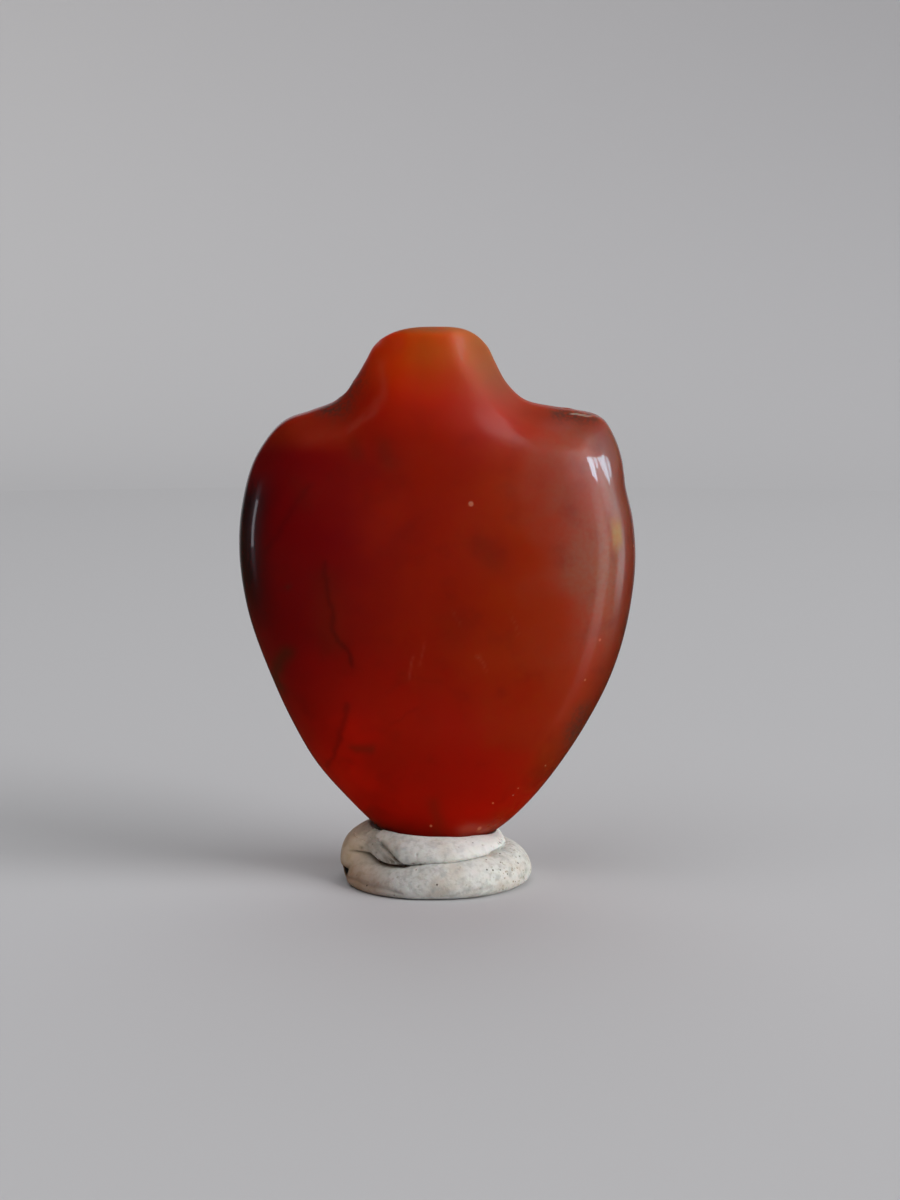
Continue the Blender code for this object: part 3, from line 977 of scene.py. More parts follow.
    def skin(self) -> Array:
        """The rope's whole surface before its details: underside, two rolls, lip and seat.

        Returns:
            Rows from the underside's middle to the seat's middle, by stations, by xyz.
        """
        degrees = self.degrees
        level = np.full(degrees.shape, self.low.z)
        lip_height = (self.foot_height + self.seat_depth) * round_axis(degrees, self.lip_rise)
        foot_height = level + self.foot_height
        touch = self.foot_reach(lip_height)
        seat = self.foot_reach(foot_height)
        upper_reach = self.foot_reach(foot_height + self.seat_depth).max() + self.solid_gap + self.lip_wall
        lower_reach = (upper_reach + self.coil_step) * round_axis(degrees, self.lower_reach)
        crease_radius = upper_reach - self.crease_depth * round_axis(degrees, self.crease_sink)
        crease = (crease_radius, self.lower_height * round_axis(degrees, self.crease_rise))
        ground = (lower_reach - self.ground_tuck * round_axis(degrees, self.tuck), level)
        crest = (touch + self.skin_gap + self.lip_edge, lip_height)
        inner = (touch + self.skin_gap, lip_height - self.lip_edge)
        bottom = (seat + self.skin_gap, foot_height - self.skin_gap)
        angle = np.linspace(0.0, math.pi / 2, self.lip_steps, endpoint=False)[:, None]
        over = (
            inner[0] + self.lip_edge * np.cos(angle),
            inner[1] + self.lip_edge * np.sin(math.pi / 2 - angle),
        )
        down = np.linspace(0.0, 1.0, self.lip_steps)[:, None]
        wall = tuple(inner[part] * (1.0 - down) + bottom[part] * down for part in range(2))
        out = np.linspace(0.0, 1.0, self.floor_steps, endpoint=False)[1:, None]
        top_reach = upper_reach * round_axis(degrees, self.upper_reach)
        turns = [
            np.concatenate(pair)
            for pair in zip(
                self.roll(ground, crease, lower_reach, self.roll_steps),
                self.roll(crease, crest, top_reach, self.roll_steps),
            )
        ]
        merged = self.roll(ground, crest, lower_reach, 2 * self.roll_steps, self.merged_fullness)
        share = round_axis(degrees, self.merging)
        flank = tuple(two * (1.0 - share) + one * share for two, one in zip(turns, merged))
        stretches = (
            (out * ground[0], out * level),
            flank,
            over,
            wall,
            (out[::-1] * bottom[0], out[::-1] * level + bottom[1]),
        )
        radius, height = (np.concatenate([stretch[part] for stretch in stretches]) for part in range(2))
        turn = np.radians(degrees)
        return np.stack([radius * np.cos(turn), radius * np.sin(turn), height], axis=-1)

    def kneaded(self, rings: Array) -> tuple[Array, Array]:
        """Presses the rope's folds, seam, pits and unevenness into its skin, along the skin's normal.

        A crease sinks by depth exp(-(d/width)^2) of the distance d to its line, unrolled round the coil, and
        is painted darker, as shade with some dirt. The rope's tucked-in end lies a step deeper from its
        slanting seam on, rises again with distance and is drawn out in fine ridges along the seam, darker
        brown in them where it meets the lower roll.
        Directions run on from self.cut without a jump, because no crease lies across it.

        Args:
            rings: closed rows of points.
        Returns:
            The moved points, and how much dirt and painted shade lies at each.
        """
        turn = np.degrees(np.arctan2(rings[..., 1], rings[..., 0]))
        turn = (turn - self.cut) % 360.0 + self.cut - 360.0
        radius = np.hypot(rings[..., 0], rings[..., 1])
        height = rings[..., 2]
        outer = smooth_share(radius, *self.skin_start) * smooth_share(height, 0.0, self.level_foot)
        sink = np.zeros(height.shape)
        grime_and_shade = np.zeros(height.shape)
        for seed, (grain, depth) in enumerate(self.unevenness, start=self.knead_seed):
            sink += depth * soft_noise(rings, grain, seed)
        bend = self.crease_bend * soft_noise(rings, self.crease_grain, self.bend_seed)
        unrolled = np.stack([np.radians(turn) * self.roll_radius, height], axis=-1) / MM + bend[..., None]
        for crease in CREASES:
            path = np.array(crease.path) * (math.radians(self.roll_radius / MM), 1.0)
            distance = distance_to_line(unrolled.reshape(-1, 2), path).reshape(height.shape)
            sink += crease.depth * MM * np.exp(-((distance / crease.width) ** 2))
            # Painted shade, with some dirt, darkens each crease.
            grime_and_shade += crease.grime_and_shade * np.exp(-((distance / (1.3 * crease.width)) ** 2))
        seam = np.interp(height / MM, *np.array(self.seam).T)
        beyond = seam - turn
        crease_height = self.lower_height * round_axis(turn, self.crease_rise)
        on_upper_roll = smooth_share(height, crease_height, crease_height + self.above_crease)
        tucked = smooth_share(beyond, *self.seam_wall) * on_upper_roll
        tucked = tucked * smooth_share(radius, *self.seam_start)
        lobe_end = (share * self.seam_reach for share in self.lobe_shares)
        lobe = tucked * (1.0 - smooth_share(beyond, *lobe_end))
        drawn = np.stack([np.radians(beyond) * self.roll_radius, 0.1 * height, 0.1 * radius], axis=-1)
        ridges = soft_noise(drawn, self.striation, self.ridge_seed)
        sink += self.seam_step * tucked * (1.0 - smooth_share(beyond, self.seam_wall[1], self.seam_reach))
        sink += self.striation_depth * ridges * lobe
        # The lobe turns darker brown in its ridges near the seam's foot.
        at_seam_foot = smooth_share(beyond, *self.darkening_turn)
        at_seam_foot = at_seam_foot * smooth_share(height - crease_height, *self.darkening_height)
        lobe_darkened = (self.lobe_darkening + self.seam_foot_darkening * at_seam_foot) * (0.8 + 1.5 * ridges)
        grime_and_shade += np.clip(lobe_darkened, 0.0, self.most_darkened) * lobe
        # Painted shade along the crease between the two rolls.
        in_crease = np.exp(-(((height - crease_height) / self.crease_width) ** 2))
        in_crease = in_crease * smooth_share(np.abs(turn - self.crease_middle), *self.crease_ends)
        grime_and_shade += self.crease_shade * in_crease
        sink += self.crease_cut * in_crease
        random = np.random.default_rng(self.pit_seed)
        skin = np.flatnonzero((outer.ravel() > 0.9) & (height.ravel() < self.pits_below))
        places = rings.reshape(-1, 3)[random.choice(skin, self.pit_count)]
        for place, size in zip(places, random.uniform(*self.pit_sizes, self.pit_count)):
            away = np.linalg.norm(rings - place, axis=-1)
            hollow = np.exp(-((away / (self.pit_width * size)) ** 2))
            sink += self.pit_depth * size * hollow
            grime_and_shade += self.pit_grime * hollow
        normals = grid_normals(rings, closed=True)
        outwards = np.sign((normals[..., :2] * rings[..., :2]).sum())
        return rings - outwards * normals * (sink * outer)[..., None], np.clip(grime_and_shade * outer, 0.0, 1.0)

    @property
    def roll_radius(self) -> float:
        """The rope's outer radius round its axis, near enough to unroll its skin with."""
        return self.stone.half_width / 2

    def build(self) -> bpy.types.Object:
        """Builds the rope's mesh from rings of points, closed by a point below and one in the seat.

        Returns:
            The rope's object.
        """
        rings, grime_and_shade = self.kneaded(self.skin())
        rings[..., 2] = np.maximum(rings[..., 2], self.low.z)
        count, around = rings.shape[:2]
        ends = np.array([[0.0, 0.0, self.low.z], [0.0, 0.0, rings[-1, 0, 2]]])
        points = np.vstack([rings.reshape(-1, 3), ends])
        index = np.arange(count * around).reshape(count, around)
        index = np.vstack([np.full(around, count * around), index, np.full(around, count * around + 1)])
        faces = grid_faces(np.hstack([index, index[:, :1]]))
        return add_piece("putty_rope", points, faces, {"grime_and_shade": np.append(grime_and_shade.ravel(), (0.0, 0.0))})


class Wiring:
    """Adds and links the nodes of one tree.

    Args:
        tree: the node tree of a material or of the world.
    """

    def __init__(self, tree: bpy.types.NodeTree) -> None:
        """Takes the tree."""
        self.tree = tree

    def rise(self, value: Any, start: float, end: float, low: float = 0.0, high: float = 1.0) -> Any:
        """Turns a value into a smooth rise from low at start to high at end.

        Args:
            value: the output to read.
            start: where the rise starts.
            end: where it ends.
            low: the result at the start.
            high: the result at the end.
        Returns:
            The output that carries the rise.
        """
        limits = {"Value": value, "From Min": start, "From Max": end, "To Min": low, "To Max": high}
        return add_node(self.tree, "MapRange", {"interpolation_type": "SMOOTHSTEP"}, limits).outputs["Result"]

    def maths(self, operation: str, first: Any, *others: Any) -> Any:
        """Works out a sum of outputs or numbers, taken two at a time from the left.

        Args:
            operation: Blender's name of the sum.
            first: the first output or number.
            others: the rest of them, none for a sum of one.
        Returns:
            The output that carries the result.
        """
        result = first
        for other in others or (0.0,):
            node = add_node(self.tree, "Math", {"operation": operation}, {0: result, 1: other})
            result = node.outputs[0]
        return result

    def over(self, below: Any, above: Any, share: Any) -> Any:
        """Lays a colour over another by a share.

        Args:
            below: the colour underneath, as sRGB hex, a linear colour or an output.
            above: the colour on top, likewise.
            share: how much of it covers, as an output or a number.
        Returns:
            The mixed output.
        """
        colors = {"A": below, "B": above}
        shown = {name: linear(color) if isinstance(color, str) else color for name, color in colors.items()}
        return add_node(self.tree, "Mix", {"data_type": "RGBA"}, {"Factor": share, **shown}).outputs["Result"]


class Painter(Wiring):
    """Lays colours over one another in a material's node tree.

    Args:
        material: the material, whose surface is a Principled shader.
    """

    def __init__(self, material: bpy.types.Material) -> None:
        """Switches the material to nodes and finds its shader."""
        material.use_nodes = True
        super().__init__(material.node_tree)
        self.shader = self.tree.nodes["Principled BSDF"]
        self.place = add_node(self.tree, "TexCoord").outputs["Object"]

    def scaled(self, scale: Triple) -> Any:
        """The place with each axis times its own scale."""
        node = add_node(self.tree, "VectorMath", {"operation": "MULTIPLY"}, {0: self.place, 1: scale})
        return node.outputs["Vector"]

    def noise(self, grain: float, detail: float = 2.0) -> Any:
        """Soft noise between 0 and 1.

        Args:
            grain: how far its bumps lie apart, in metres.
            detail: how many finer layers it has.
        Returns:
            The output that carries the noise.
        """
        inputs = {"Vector": self.scaled((1.0 / grain,) * 3), "Scale": 1.0, "Detail": detail}
        return add_node(self.tree, "TexNoise", inputs=inputs).outputs["Fac"]

    def near(self, point: Triple, size: float, stretch: Triple = (1.0, 1.0, 1.0), share: float = 1.0) -> Any:
        """A share round a point, falling smoothly to 0 further off.

        Args:
            point: x, y and z in millimetres.
            size: where it has fallen to 0, in millimetres.
            stretch: how much further it reaches along each axis.
            share: the share at the point.
        Returns:
            The output that carries the share.
        """
        place = self.scaled(tuple(1.0 / longer for longer in stretch))
        middle = tuple(v * MM / longer for v, longer in zip(point, stretch))
        away = add_node(self.tree, "VectorMath", {"operation": "DISTANCE"}, {0: place, 1: middle})
        return self.rise(away.outputs["Value"], size * MM, 0.4 * size * MM, 0.0, share)

    def bump(self, height: Any, distance: float) -> None:
        """Raises the surface by this distance in metres where the height goes from 0 to 1."""
        node = add_node(self.tree, "Bump", inputs={"Height": height, "Distance": distance, "Strength": 1.0})
        self.tree.links.new(node.outputs[0], self.shader.inputs["Normal"])

    def set(self, **values: Any) -> None:
        """Sets or links the shader's inputs.

        Args:
            values: a value or an output for each input, named with underscores for spaces.
        """
        for name, value in values.items():
            socket = self.shader.inputs[name.replace("_", " ")]
            if isinstance(value, bpy.types.NodeSocket):
                self.tree.links.new(value, socket)
            else:
                socket.default_value = value


@dataclass(frozen=True)
class PlaceOnStone:
    """Where a point lies on the stone, as outputs of its material's node tree.

    Args:
        side: -1 at the left edge's widest point, 0 in the middle and 1 at the right edge's.
        across: the same, wandering a little, so that no colour ends on a straight line.
        lifted: 0 at the foot and 1 at the crown.
        up: the same, wandering a little.
        below_crown: its distance from the crown's middle in metres, halved along the width.
        from_edge: its distance from the side edges in millimetres.
        through: its place through the stone in metres, below 0 on the front.
    """

    side: Any
    across: Any
    lifted: Any
    up: Any
    below_crown: Any
    from_edge: Any
    through: Any


@dataclass(frozen=True)
class Carnelian:
    """Carnelian, a red chalcedony, ground to shape and rubbed to a gloss.

    Args:
        half_width: half of the stone's width.
        foot: the height of its foot.
        height: its own height.
    The colours are the stone's own, from the deep red of its left side to the orange right one, with
    painted light and shade over them: a haze on the right, a sheen on the neck's right side, a glow in the
    neck, the crown and partly the livelier foot, a reflection along the crown's top edge, a glint on the
    right shoulder, and shade along the foot's edge and the rim. Specks are x, y, z and size in millimetres,
    and the shoulder's glint is painted round a row of points on the right shoulder.
    """

    half_width: float
    foot: float
    height: float
    left: str = "#800408"
    middle: str = "#a01c02"
    right: str = "#ac3006"
    right_haze: str = "#9a6450"
    mottle: str = "#780c04"
    left_shoulder: str = "#9a220a"
    neck_glow: str = "#c82402"
    crown: str = "#c45612"
    crown_glow_left: str = "#ff4e08"
    crown_glow_right: str = "#a85c1c"
    crown_edge_reflection: str = "#90603a"
    neck_sheen: str = "#885038"
    base: str = "#b01404"
    base_left: str = "#dc1a02"
    base_right: str = "#962806"
    foot_edge_shade: str = "#6a0c02"
    rim: str = "#4a1c0e"
    left_rim_shade: str = "#1c0404"
    thread: str = "#2e0606"
    scratch_and_sheen: str = "#c8745c"
    cloud: str = "#5e2412"
    weathered: str = "#40342a"
    scar: str = "#7c4434"
    speck: str = "#c87a60"
    shoulder_glint: str = "#b0a496"
    specks: tuple[tuple[float, float, float, float], ...] = (
        (-0.32, -2.24, 3.14, 0.09),
        (2.68, -2.09, 4.24, 0.07),
        (3.65, -1.89, 4.60, 0.06),
        (3.89, -1.98, 4.96, 0.06),
        (1.58, -3.58, 18.87, 0.16),
        (7.75, -2.60, 12.29, 0.10),
        (7.06, -2.49, 10.34, 0.08),
        (5.20, -1.84, 6.06, 0.08),
        (9.39, -1.23, 16.65, 0.10),
        (2.05, -1.66, 2.86, 0.16),
    )
    shoulder_glint_points: tuple[Triple, ...] = ((6.55, -1.1, 22.97), (6.90, -1.15, 22.92), (7.20, -1.2, 22.86))

    def locate(self, paint: Painter) -> PlaceOnStone:
        """Works out where the painted point lies on the stone.

        Args:
            paint: the material's painter.
        Returns:
            The outputs that say so.
        """
        axes = add_node(paint.tree, "SeparateXYZ", inputs={0: paint.place}).outputs
        wander = paint.rise(paint.noise(3.5 * MM), 0.25, 0.75, -0.12, 0.12)
        side = paint.maths("DIVIDE", axes["X"], self.half_width)
        lifted = paint.maths("DIVIDE", paint.maths("SUBTRACT", axes["Z"], self.foot), self.height)
        crown = {0: paint.scaled((0.5, 0.0, 1.0)), 1: (0.0, 0.0, self.foot + self.height)}
        below_crown = add_node(paint.tree, "VectorMath", {"operation": "DISTANCE"}, crown).outputs["Value"]
        return PlaceOnStone(
            side=side,
            across=paint.maths("ADD", side, wander),
            lifted=lifted,
            up=paint.maths("ADD", lifted, paint.maths("MULTIPLY", wander, 0.35)),
            below_crown=paint.maths("ADD", below_crown, paint.maths("MULTIPLY", wander, 2.5 * MM)),
            from_edge=add_node(paint.tree, "Attribute", {"attribute_name": "from_edge"}).outputs["Fac"],
            through=axes["Y"],
        )

    def body_color(self, paint: Painter, at: PlaceOnStone) -> Any:
        """Colours the body: deep red on the left, orange on the right under a painted haze of window light,
        livelier low down and partly a painted glow there.

        Args:
            paint: the material's painter.
            at: where the point lies.
        Returns:
            The output that carries the colour.
        """
        color = paint.over(self.left, self.middle, paint.rise(at.across, -0.68, 0.05))
        color = paint.over(color, self.right, paint.rise(at.across, 0.0, 0.55))
        speckled = paint.rise(paint.noise(0.22 * MM, 3.0), 0.25, 0.75, 0.66, 1.0)
        above_foot = paint.rise(at.up, 0.20, 0.62, 0.12, 1.0)
        inner = paint.rise(at.from_edge, 0.35, 0.95, 0.25, 1.0)
        # Painted haze: a pale colour on the right side for the window light that the polish scatters.
        painted_sheen_share = paint.maths("MULTIPLY", paint.rise(at.across, 0.36, 0.95), speckled, above_foot, inner)
        color = paint.over(color, self.right_haze, painted_sheen_share)
        # Partly painted glow: the foot's livelier red also stands for light coming through the stone low
        # down.
        base = paint.over(self.base_left, self.base, paint.rise(at.across, -0.62, -0.06))
        base = paint.over(base, self.base_right, paint.rise(at.across, 0.18, 0.60))
        color = paint.over(color, base, paint.rise(at.up, 0.46, 0.07))
        mottled = paint.rise(paint.noise(1.5 * MM, 4.0), 0.50, 0.80, 0.0, 0.35)
        return paint.over(color, self.mottle, mottled)

    def crown_color(self, paint: Painter, at: PlaceOnStone, color: Any) -> Any:
        """Lays the brown left shoulder, a painted glow on the neck, a painted sheen on the neck's right side
        and the orange crown's painted glow over the body.

        Args:
            paint: the material's painter.
            at: where the point lies.
            color: the colour underneath.
        Returns:
            The output that carries the colour.
        """
        to_left = paint.rise(at.side, -0.28, -0.50)
        on_shoulder = paint.maths("MULTIPLY", paint.rise(at.lifted, 0.755, 0.80), to_left)
        color = paint.over(color, self.left_shoulder, on_shoulder)
        # Painted glow: a brighter orange for light coming through the thin neck.
        color = paint.over(color, self.neck_glow, paint.rise(at.below_crown, 7.0 * MM, 1.0 * MM))
        # Painted sheen: a pale colour on the neck's right side for window light spread by its satin polish.
        high_up = paint.rise(at.lifted, 0.80, 0.92, 0.0, 0.75)
        painted_sheen_share = paint.maths("MULTIPLY", paint.rise(at.side, 0.02, 0.32), high_up)
        color = paint.over(color, self.neck_sheen, painted_sheen_share)
        # Painted glow in the crown: brightest on the left, where it also makes up for the lamp's shade, and
        # darker on the right, where the polish's own sheen adds light.
        crown = paint.over(self.crown_glow_left, self.crown, paint.rise(at.side, -0.30, -0.06))
        crown = paint.over(crown, self.crown_glow_right, paint.rise(at.side, 0.00, 0.26))
        # Painted reflection: a paler band along the crown's rounded top edge, where it mirrors the bright
        # wall above.
        crown = paint.over(crown, self.crown_edge_reflection, paint.rise(at.lifted, 0.984, 0.996, 0.0, 0.75))
        return paint.over(color, crown, paint.rise(at.below_crown, 4.0 * MM, 0.4 * MM))

    def edge_color(self, paint: Painter, at: PlaceOnStone, color: Any) -> Any:
        """Paints shade on the foot's edge and the rim, where less light comes through, most on the left side.

        Args:
            paint: the material's painter.
            at: where the point lies.
            color: the colour underneath.
        Returns:
            The output that carries the colour.
        """
        # Painted shade: darker along the foot's edge, along the rim, and most near the left edge.
        color = paint.over(color, self.foot_edge_shade, paint.rise(at.lifted, 0.072, 0.0, 0.0, 0.72))
        rim = paint.maths(
            "MULTIPLY",
            paint.rise(at.from_edge, 1.5, 0.15),
            paint.rise(at.lifted, 0.86, 0.78, 0.25, 0.65),
            paint.rise(at.lifted, 0.08, 0.25, 0.1, 1.0),
            paint.rise(at.side, -0.90, -0.20, 0.25, 1.0),
        )
        color = paint.over(color, self.rim, rim)
        left_rim_shade = paint.maths(
            "MULTIPLY",
            paint.rise(at.from_edge, 2.0, 0.4, 0.0, 0.9),
            paint.rise(at.side, -0.40, -0.80),
            paint.rise(at.lifted, 0.74, 0.66),
            paint.rise(at.lifted, 0.38, 0.54),
            paint.rise(at.through, 1.6 * MM, -0.6 * MM),
        )
        return paint.over(color, self.left_rim_shade, left_rim_shade)

    def marked_color(self, paint: Painter, layers: dict[str, Any], color: Any) -> Any:
        """Lays scratched lines and painted sheen, clouds, threads, weathered places, scars, specks and the
        painted glint on the right shoulder over the colour.

        Args:
            paint: the material's painter.
            layers: the outputs of the vertex attributes, by name.
            color: the colour underneath.
        Returns:
            The output that carries the colour.
        """
        # Scratches, and painted sheen along the neck's left ridge.
        color = paint.over(color, self.scratch_and_sheen, layers[Inclusion.SCRATCH_AND_SHEEN.value])
        color = paint.over(color, self.cloud, layers[Inclusion.CLOUD.value])
        color = paint.over(color, self.thread, layers[Inclusion.THREAD.value])
        pitted = paint.rise(paint.noise(0.20 * MM, 3.0), 0.38, 0.60, 0.20, 1.0)
        weathered = paint.maths("MULTIPLY", layers[Inclusion.WEATHERING.value], pitted)
        color = paint.over(color, self.weathered, weathered)
        color = paint.over(color, self.scar, paint.maths("MULTIPLY", layers["scars"], 0.6))
        for *point, size in self.specks:
            color = paint.over(color, self.speck, paint.near(tuple(point), size))
        # Painted glint: a pale streak where the chipped right shoulder mirrors the light.
        for point in self.shoulder_glint_points:
            color = paint.over(color, self.shoulder_glint, paint.near(point, 0.055, (6.0, 14.0, 1.0), 0.6))
        return color

    def material(self) -> bpy.types.Material:
        """Makes the material.

        Returns:
            The carnelian.
        """
        material = bpy.data.materials.new("carnelian_ground_and_polished")
        paint = Painter(material)
        at = self.locate(paint)
        layers = {
            name: add_node(paint.tree, "Attribute", {"attribute_name": name}).outputs["Fac"]
            for name in ("scars", *(kind.value for kind in Inclusion))
        }
        color = self.crown_color(paint, at, self.body_color(paint, at))
        color = self.marked_color(paint, layers, self.edge_color(paint, at, color))
        # The rougher base scatters the lamp into a soft haze, and the coat is the skin of hard polish, which
        # the hollow neck and the ground foot haven't got: there the light spreads into a satin sheen.
        satin = paint.maths("MAXIMUM", paint.rise(at.lifted, 0.80, 0.87), paint.rise(at.lifted, 0.13, 0.05))
        dull = paint.maths(
            "MAXIMUM", paint.maths("MULTIPLY", layers["scars"], 0.5), paint.maths("MULTIPLY", satin, 0.95)
        )
        hazy = paint.rise(paint.noise(2.4 * MM, 3.0), 0.2, 0.8, 0.38, 0.48)
        on_neck = paint.rise(at.lifted, 0.76, 0.86, 0.0, 0.26)
        worn = paint.maths("MULTIPLY", on_neck, paint.rise(at.side, -0.05, 0.20))
        paint.set(
            Base_Color=color,
            Roughness=paint.maths("ADD", hazy, paint.rise(at.lifted, 0.22, 0.06, 0.0, -0.12), worn),
            Specular_IOR_Level=0.5,
            Coat_Weight=paint.maths("SUBTRACT", 1.0, dull),
            Coat_Roughness=0.06,
            Subsurface_Weight=1.0,
            Subsurface_Radius=(1.0, 0.22, 0.08),
            Subsurface_Scale=2.5 * MM,
        )
        paint.bump(paint.noise(0.25 * MM, 3.0), 0.002 * MM)
        return material


@dataclass(frozen=True)
class Putty:
    """White adhesive putty, rolled between the hands.

    Args:
        half_width: half of the coil's width.
    The colours are the putty's own and of dirt, with painted warm shade on its left end and low on the
    left, painted light whitening its upper right, and painted shade in its folds.
    """

    half_width: float
    body: str = "#dededa"
    warm: str = "#bca890"
    cool: str = "#a8aaa6"
    grain: str = "#a49c90"
    left_warm_shade: str = "#cca16b"
    low_table_bounce: str = "#8a4a10"
    lit_white: str = "#f6f7f6"
    stain: str = "#8c7650"
    dirt: str = "#4a3c26"
    crease: str = "#645034"
    notch_shadow: str = "#120e0a"
    dirt_spacing: float = 0.34 * MM
    stain_spacing: float = 0.20 * MM

    def skin_color(self, paint: Painter, x: Any, z: Any) -> Any:
        """Colours the skin: kneaded white, with painted warm shade on the left and painted light whitest on
        the upper roll.

        Args:
            paint: the material's painter.
            x: the output with the place along the width, in metres.
            z: the output with the height, in metres.
        Returns:
            The output that carries the colour.
        """
        warmer = paint.rise(paint.noise(1.4 * MM, 3.0), 0.45, 0.75, 0.0, 0.45)
        color = paint.over(self.body, self.warm, warmer)
        color = paint.over(color, self.cool, paint.rise(paint.noise(0.45 * MM, 4.0), 0.45, 0.72, 0.0, 0.6))
        color = paint.over(color, self.grain, paint.rise(paint.noise(0.24 * MM, 3.0), 0.48, 0.72, 0.0, 0.34))
        # Painted warm shade: the left end, turned from the key light, browner as if lit by a warm table.
        left_end = paint.rise(x, -0.35 * self.half_width, -0.98 * self.half_width, 0.0, 0.62)
        color = paint.over(color, self.left_warm_shade, left_end)
        # Painted warm shade low on the left, for light bounced from a brown table.
        low_left = paint.maths(
            "MULTIPLY", paint.rise(z, 1.3 * MM, 0.5 * MM), paint.rise(x, -1.2 * MM, -3.2 * MM, 0.0, 0.42)
        )
        color = paint.over(color, self.low_table_bounce, low_left)
        # Painted light: the upper roll whiter on its right, where the key light falls.
        upper_right = paint.maths(
            "MULTIPLY", paint.rise(z, 1.8 * MM, 2.1 * MM), paint.rise(x, -1.0 * MM, 3.0 * MM, 0.0, 0.62)
        )
        return paint.over(color, self.lit_white, upper_right)

    def dirty_color(self, paint: Painter, x: Any, color: Any) -> Any:
        """Lays dirt over the skin: grains and stains that gather at the right end, and dirt with painted
        shade in the folds, black as painted shadow in the notch.

        Args:
            paint: the material's painter.
            x: the output with the place along the width, in metres.
            color: the colour underneath.
        Returns:
            The output that carries the colour.
        """
        grains, stains = (
            add_node(
                paint.tree, "TexVoronoi", {"feature": "F1"}, {"Vector": paint.place, "Scale": 1.0 / spacing}
            ).outputs
            for spacing in (self.dirt_spacing, self.stain_spacing)
        )
        picked = add_node(paint.tree, "SeparateXYZ", inputs={0: grains["Color"]}).outputs["X"]
        more_right = paint.rise(x, 0.35 * self.half_width, 0.90 * self.half_width, 0.0, 0.52)
        chosen = paint.rise(paint.maths("ADD", picked, more_right), 0.88, 0.95)
        grain = paint.rise(grains["Distance"], 0.19, 0.08)
        color = paint.over(color, self.dirt, paint.maths("MULTIPLY", grain, chosen, 0.95))
        stained = paint.maths(
            "MULTIPLY",
            paint.rise(stains["Distance"], 0.32, 0.16),
            paint.rise(x, 0.35 * self.half_width, 0.85 * self.half_width, 0.0, 0.85),
            paint.rise(paint.noise(0.5 * MM), 0.40, 0.58),
        )
        color = paint.over(color, self.stain, stained)
        grime_and_shade = add_node(paint.tree, "Attribute", {"attribute_name": "grime_and_shade"}).outputs["Fac"]
        # Painted shade with dirt in the folds, and black painted shadow where it is deepest, in the notch.
        color = paint.over(color, self.crease, grime_and_shade)
        return paint.over(color, self.notch_shadow, paint.rise(grime_and_shade, 0.80, 1.00))

    def material(self) -> bpy.types.Material:
        """Makes the material.

        Returns:
            The putty.
        """
        material = bpy.data.materials.new("white_putty_rolled_by_hand")
        paint = Painter(material)
        axes = add_node(paint.tree, "SeparateXYZ", inputs={0: paint.place}).outputs
        color = self.dirty_color(paint, axes["X"], self.skin_color(paint, axes["X"], axes["Z"]))
        # Dull and slightly greasy, so light only lifts it softly, and the skin keeps the grain of the palm.
        paint.set(Base_Color=color, Roughness=0.78, Subsurface_Weight=0.15, Subsurface_Scale=0.3 * MM)
        paint.bump(paint.noise(0.14 * MM, 4.0), 0.022 * MM)
        return material


@dataclass
class Viewpoint:
    """The camera: a little above the table, looking down at the amulet's front."""

    place: tuple[float, float, float] = (0.6 * MM, -104.0 * MM, 27.18 * MM)
    pitch: float = 7.29
    lens: float = 64.5
    sensor: float = 36.0

    def build(self) -> None:
        """Adds the camera and makes it the scene's own."""
        data = bpy.data.cameras.new("viewpoint")
        data.lens = self.lens
        data.sensor_width = self.sensor
        data.clip_start = 5 * MM
        data.clip_end = 5.0
        camera = bpy.data.objects.new("viewpoint", data)
        camera.location = self.place
        camera.rotation_euler = (math.radians(90.0 - self.pitch), 0.0, 0.0)
        bpy.context.scene.collection.objects.link(camera)
        bpy.context.scene.camera = camera


@dataclass(frozen=True)
class Direction:
    """A direction from the amulet: degrees from the camera's side towards the right, and above the floor."""

    azimuth: float
    elevation: float

    def vector(self) -> Vector:
        """The direction as a unit vector."""
        turn, lift = math.radians(self.azimuth), math.radians(self.elevation)
        return Vector((math.sin(turn) * math.cos(lift), -math.cos(turn) * math.cos(lift), math.sin(lift)))


@dataclass(frozen=True)
class SoftLight:
    """A square soft box that faces the amulet and isn't mirrored in its polish.

    Args:
        name: what it does.
        toward: where it stands.
        level: how bright it makes a white surface that faces it, as a share of full white.
        size: its side.
        distance: how far off it stands.
        color: its light.
    """

    name: str
    toward: Direction
    level: float
    size: float
    distance: float = 0.90
    color: str = "#ffffff"

    def build(self) -> None:
        """Adds the lamp; a white surface that faces it takes power / (pi distance)^2."""
        lamp = bpy.data.lights.new(self.name, "AREA")
        lamp.size = self.size
        lamp.color = linear(self.color)[:3]
        lamp.energy = self.level * (math.pi * self.distance) ** 2
        box = bpy.data.objects.new(self.name, lamp)
        box.location = self.toward.vector() * self.distance
        box.rotation_euler = self.toward.vector().to_track_quat("Z", "Y").to_euler()
        box.visible_glossy = False
        box.visible_camera = False
        bpy.context.scene.collection.objects.link(box)


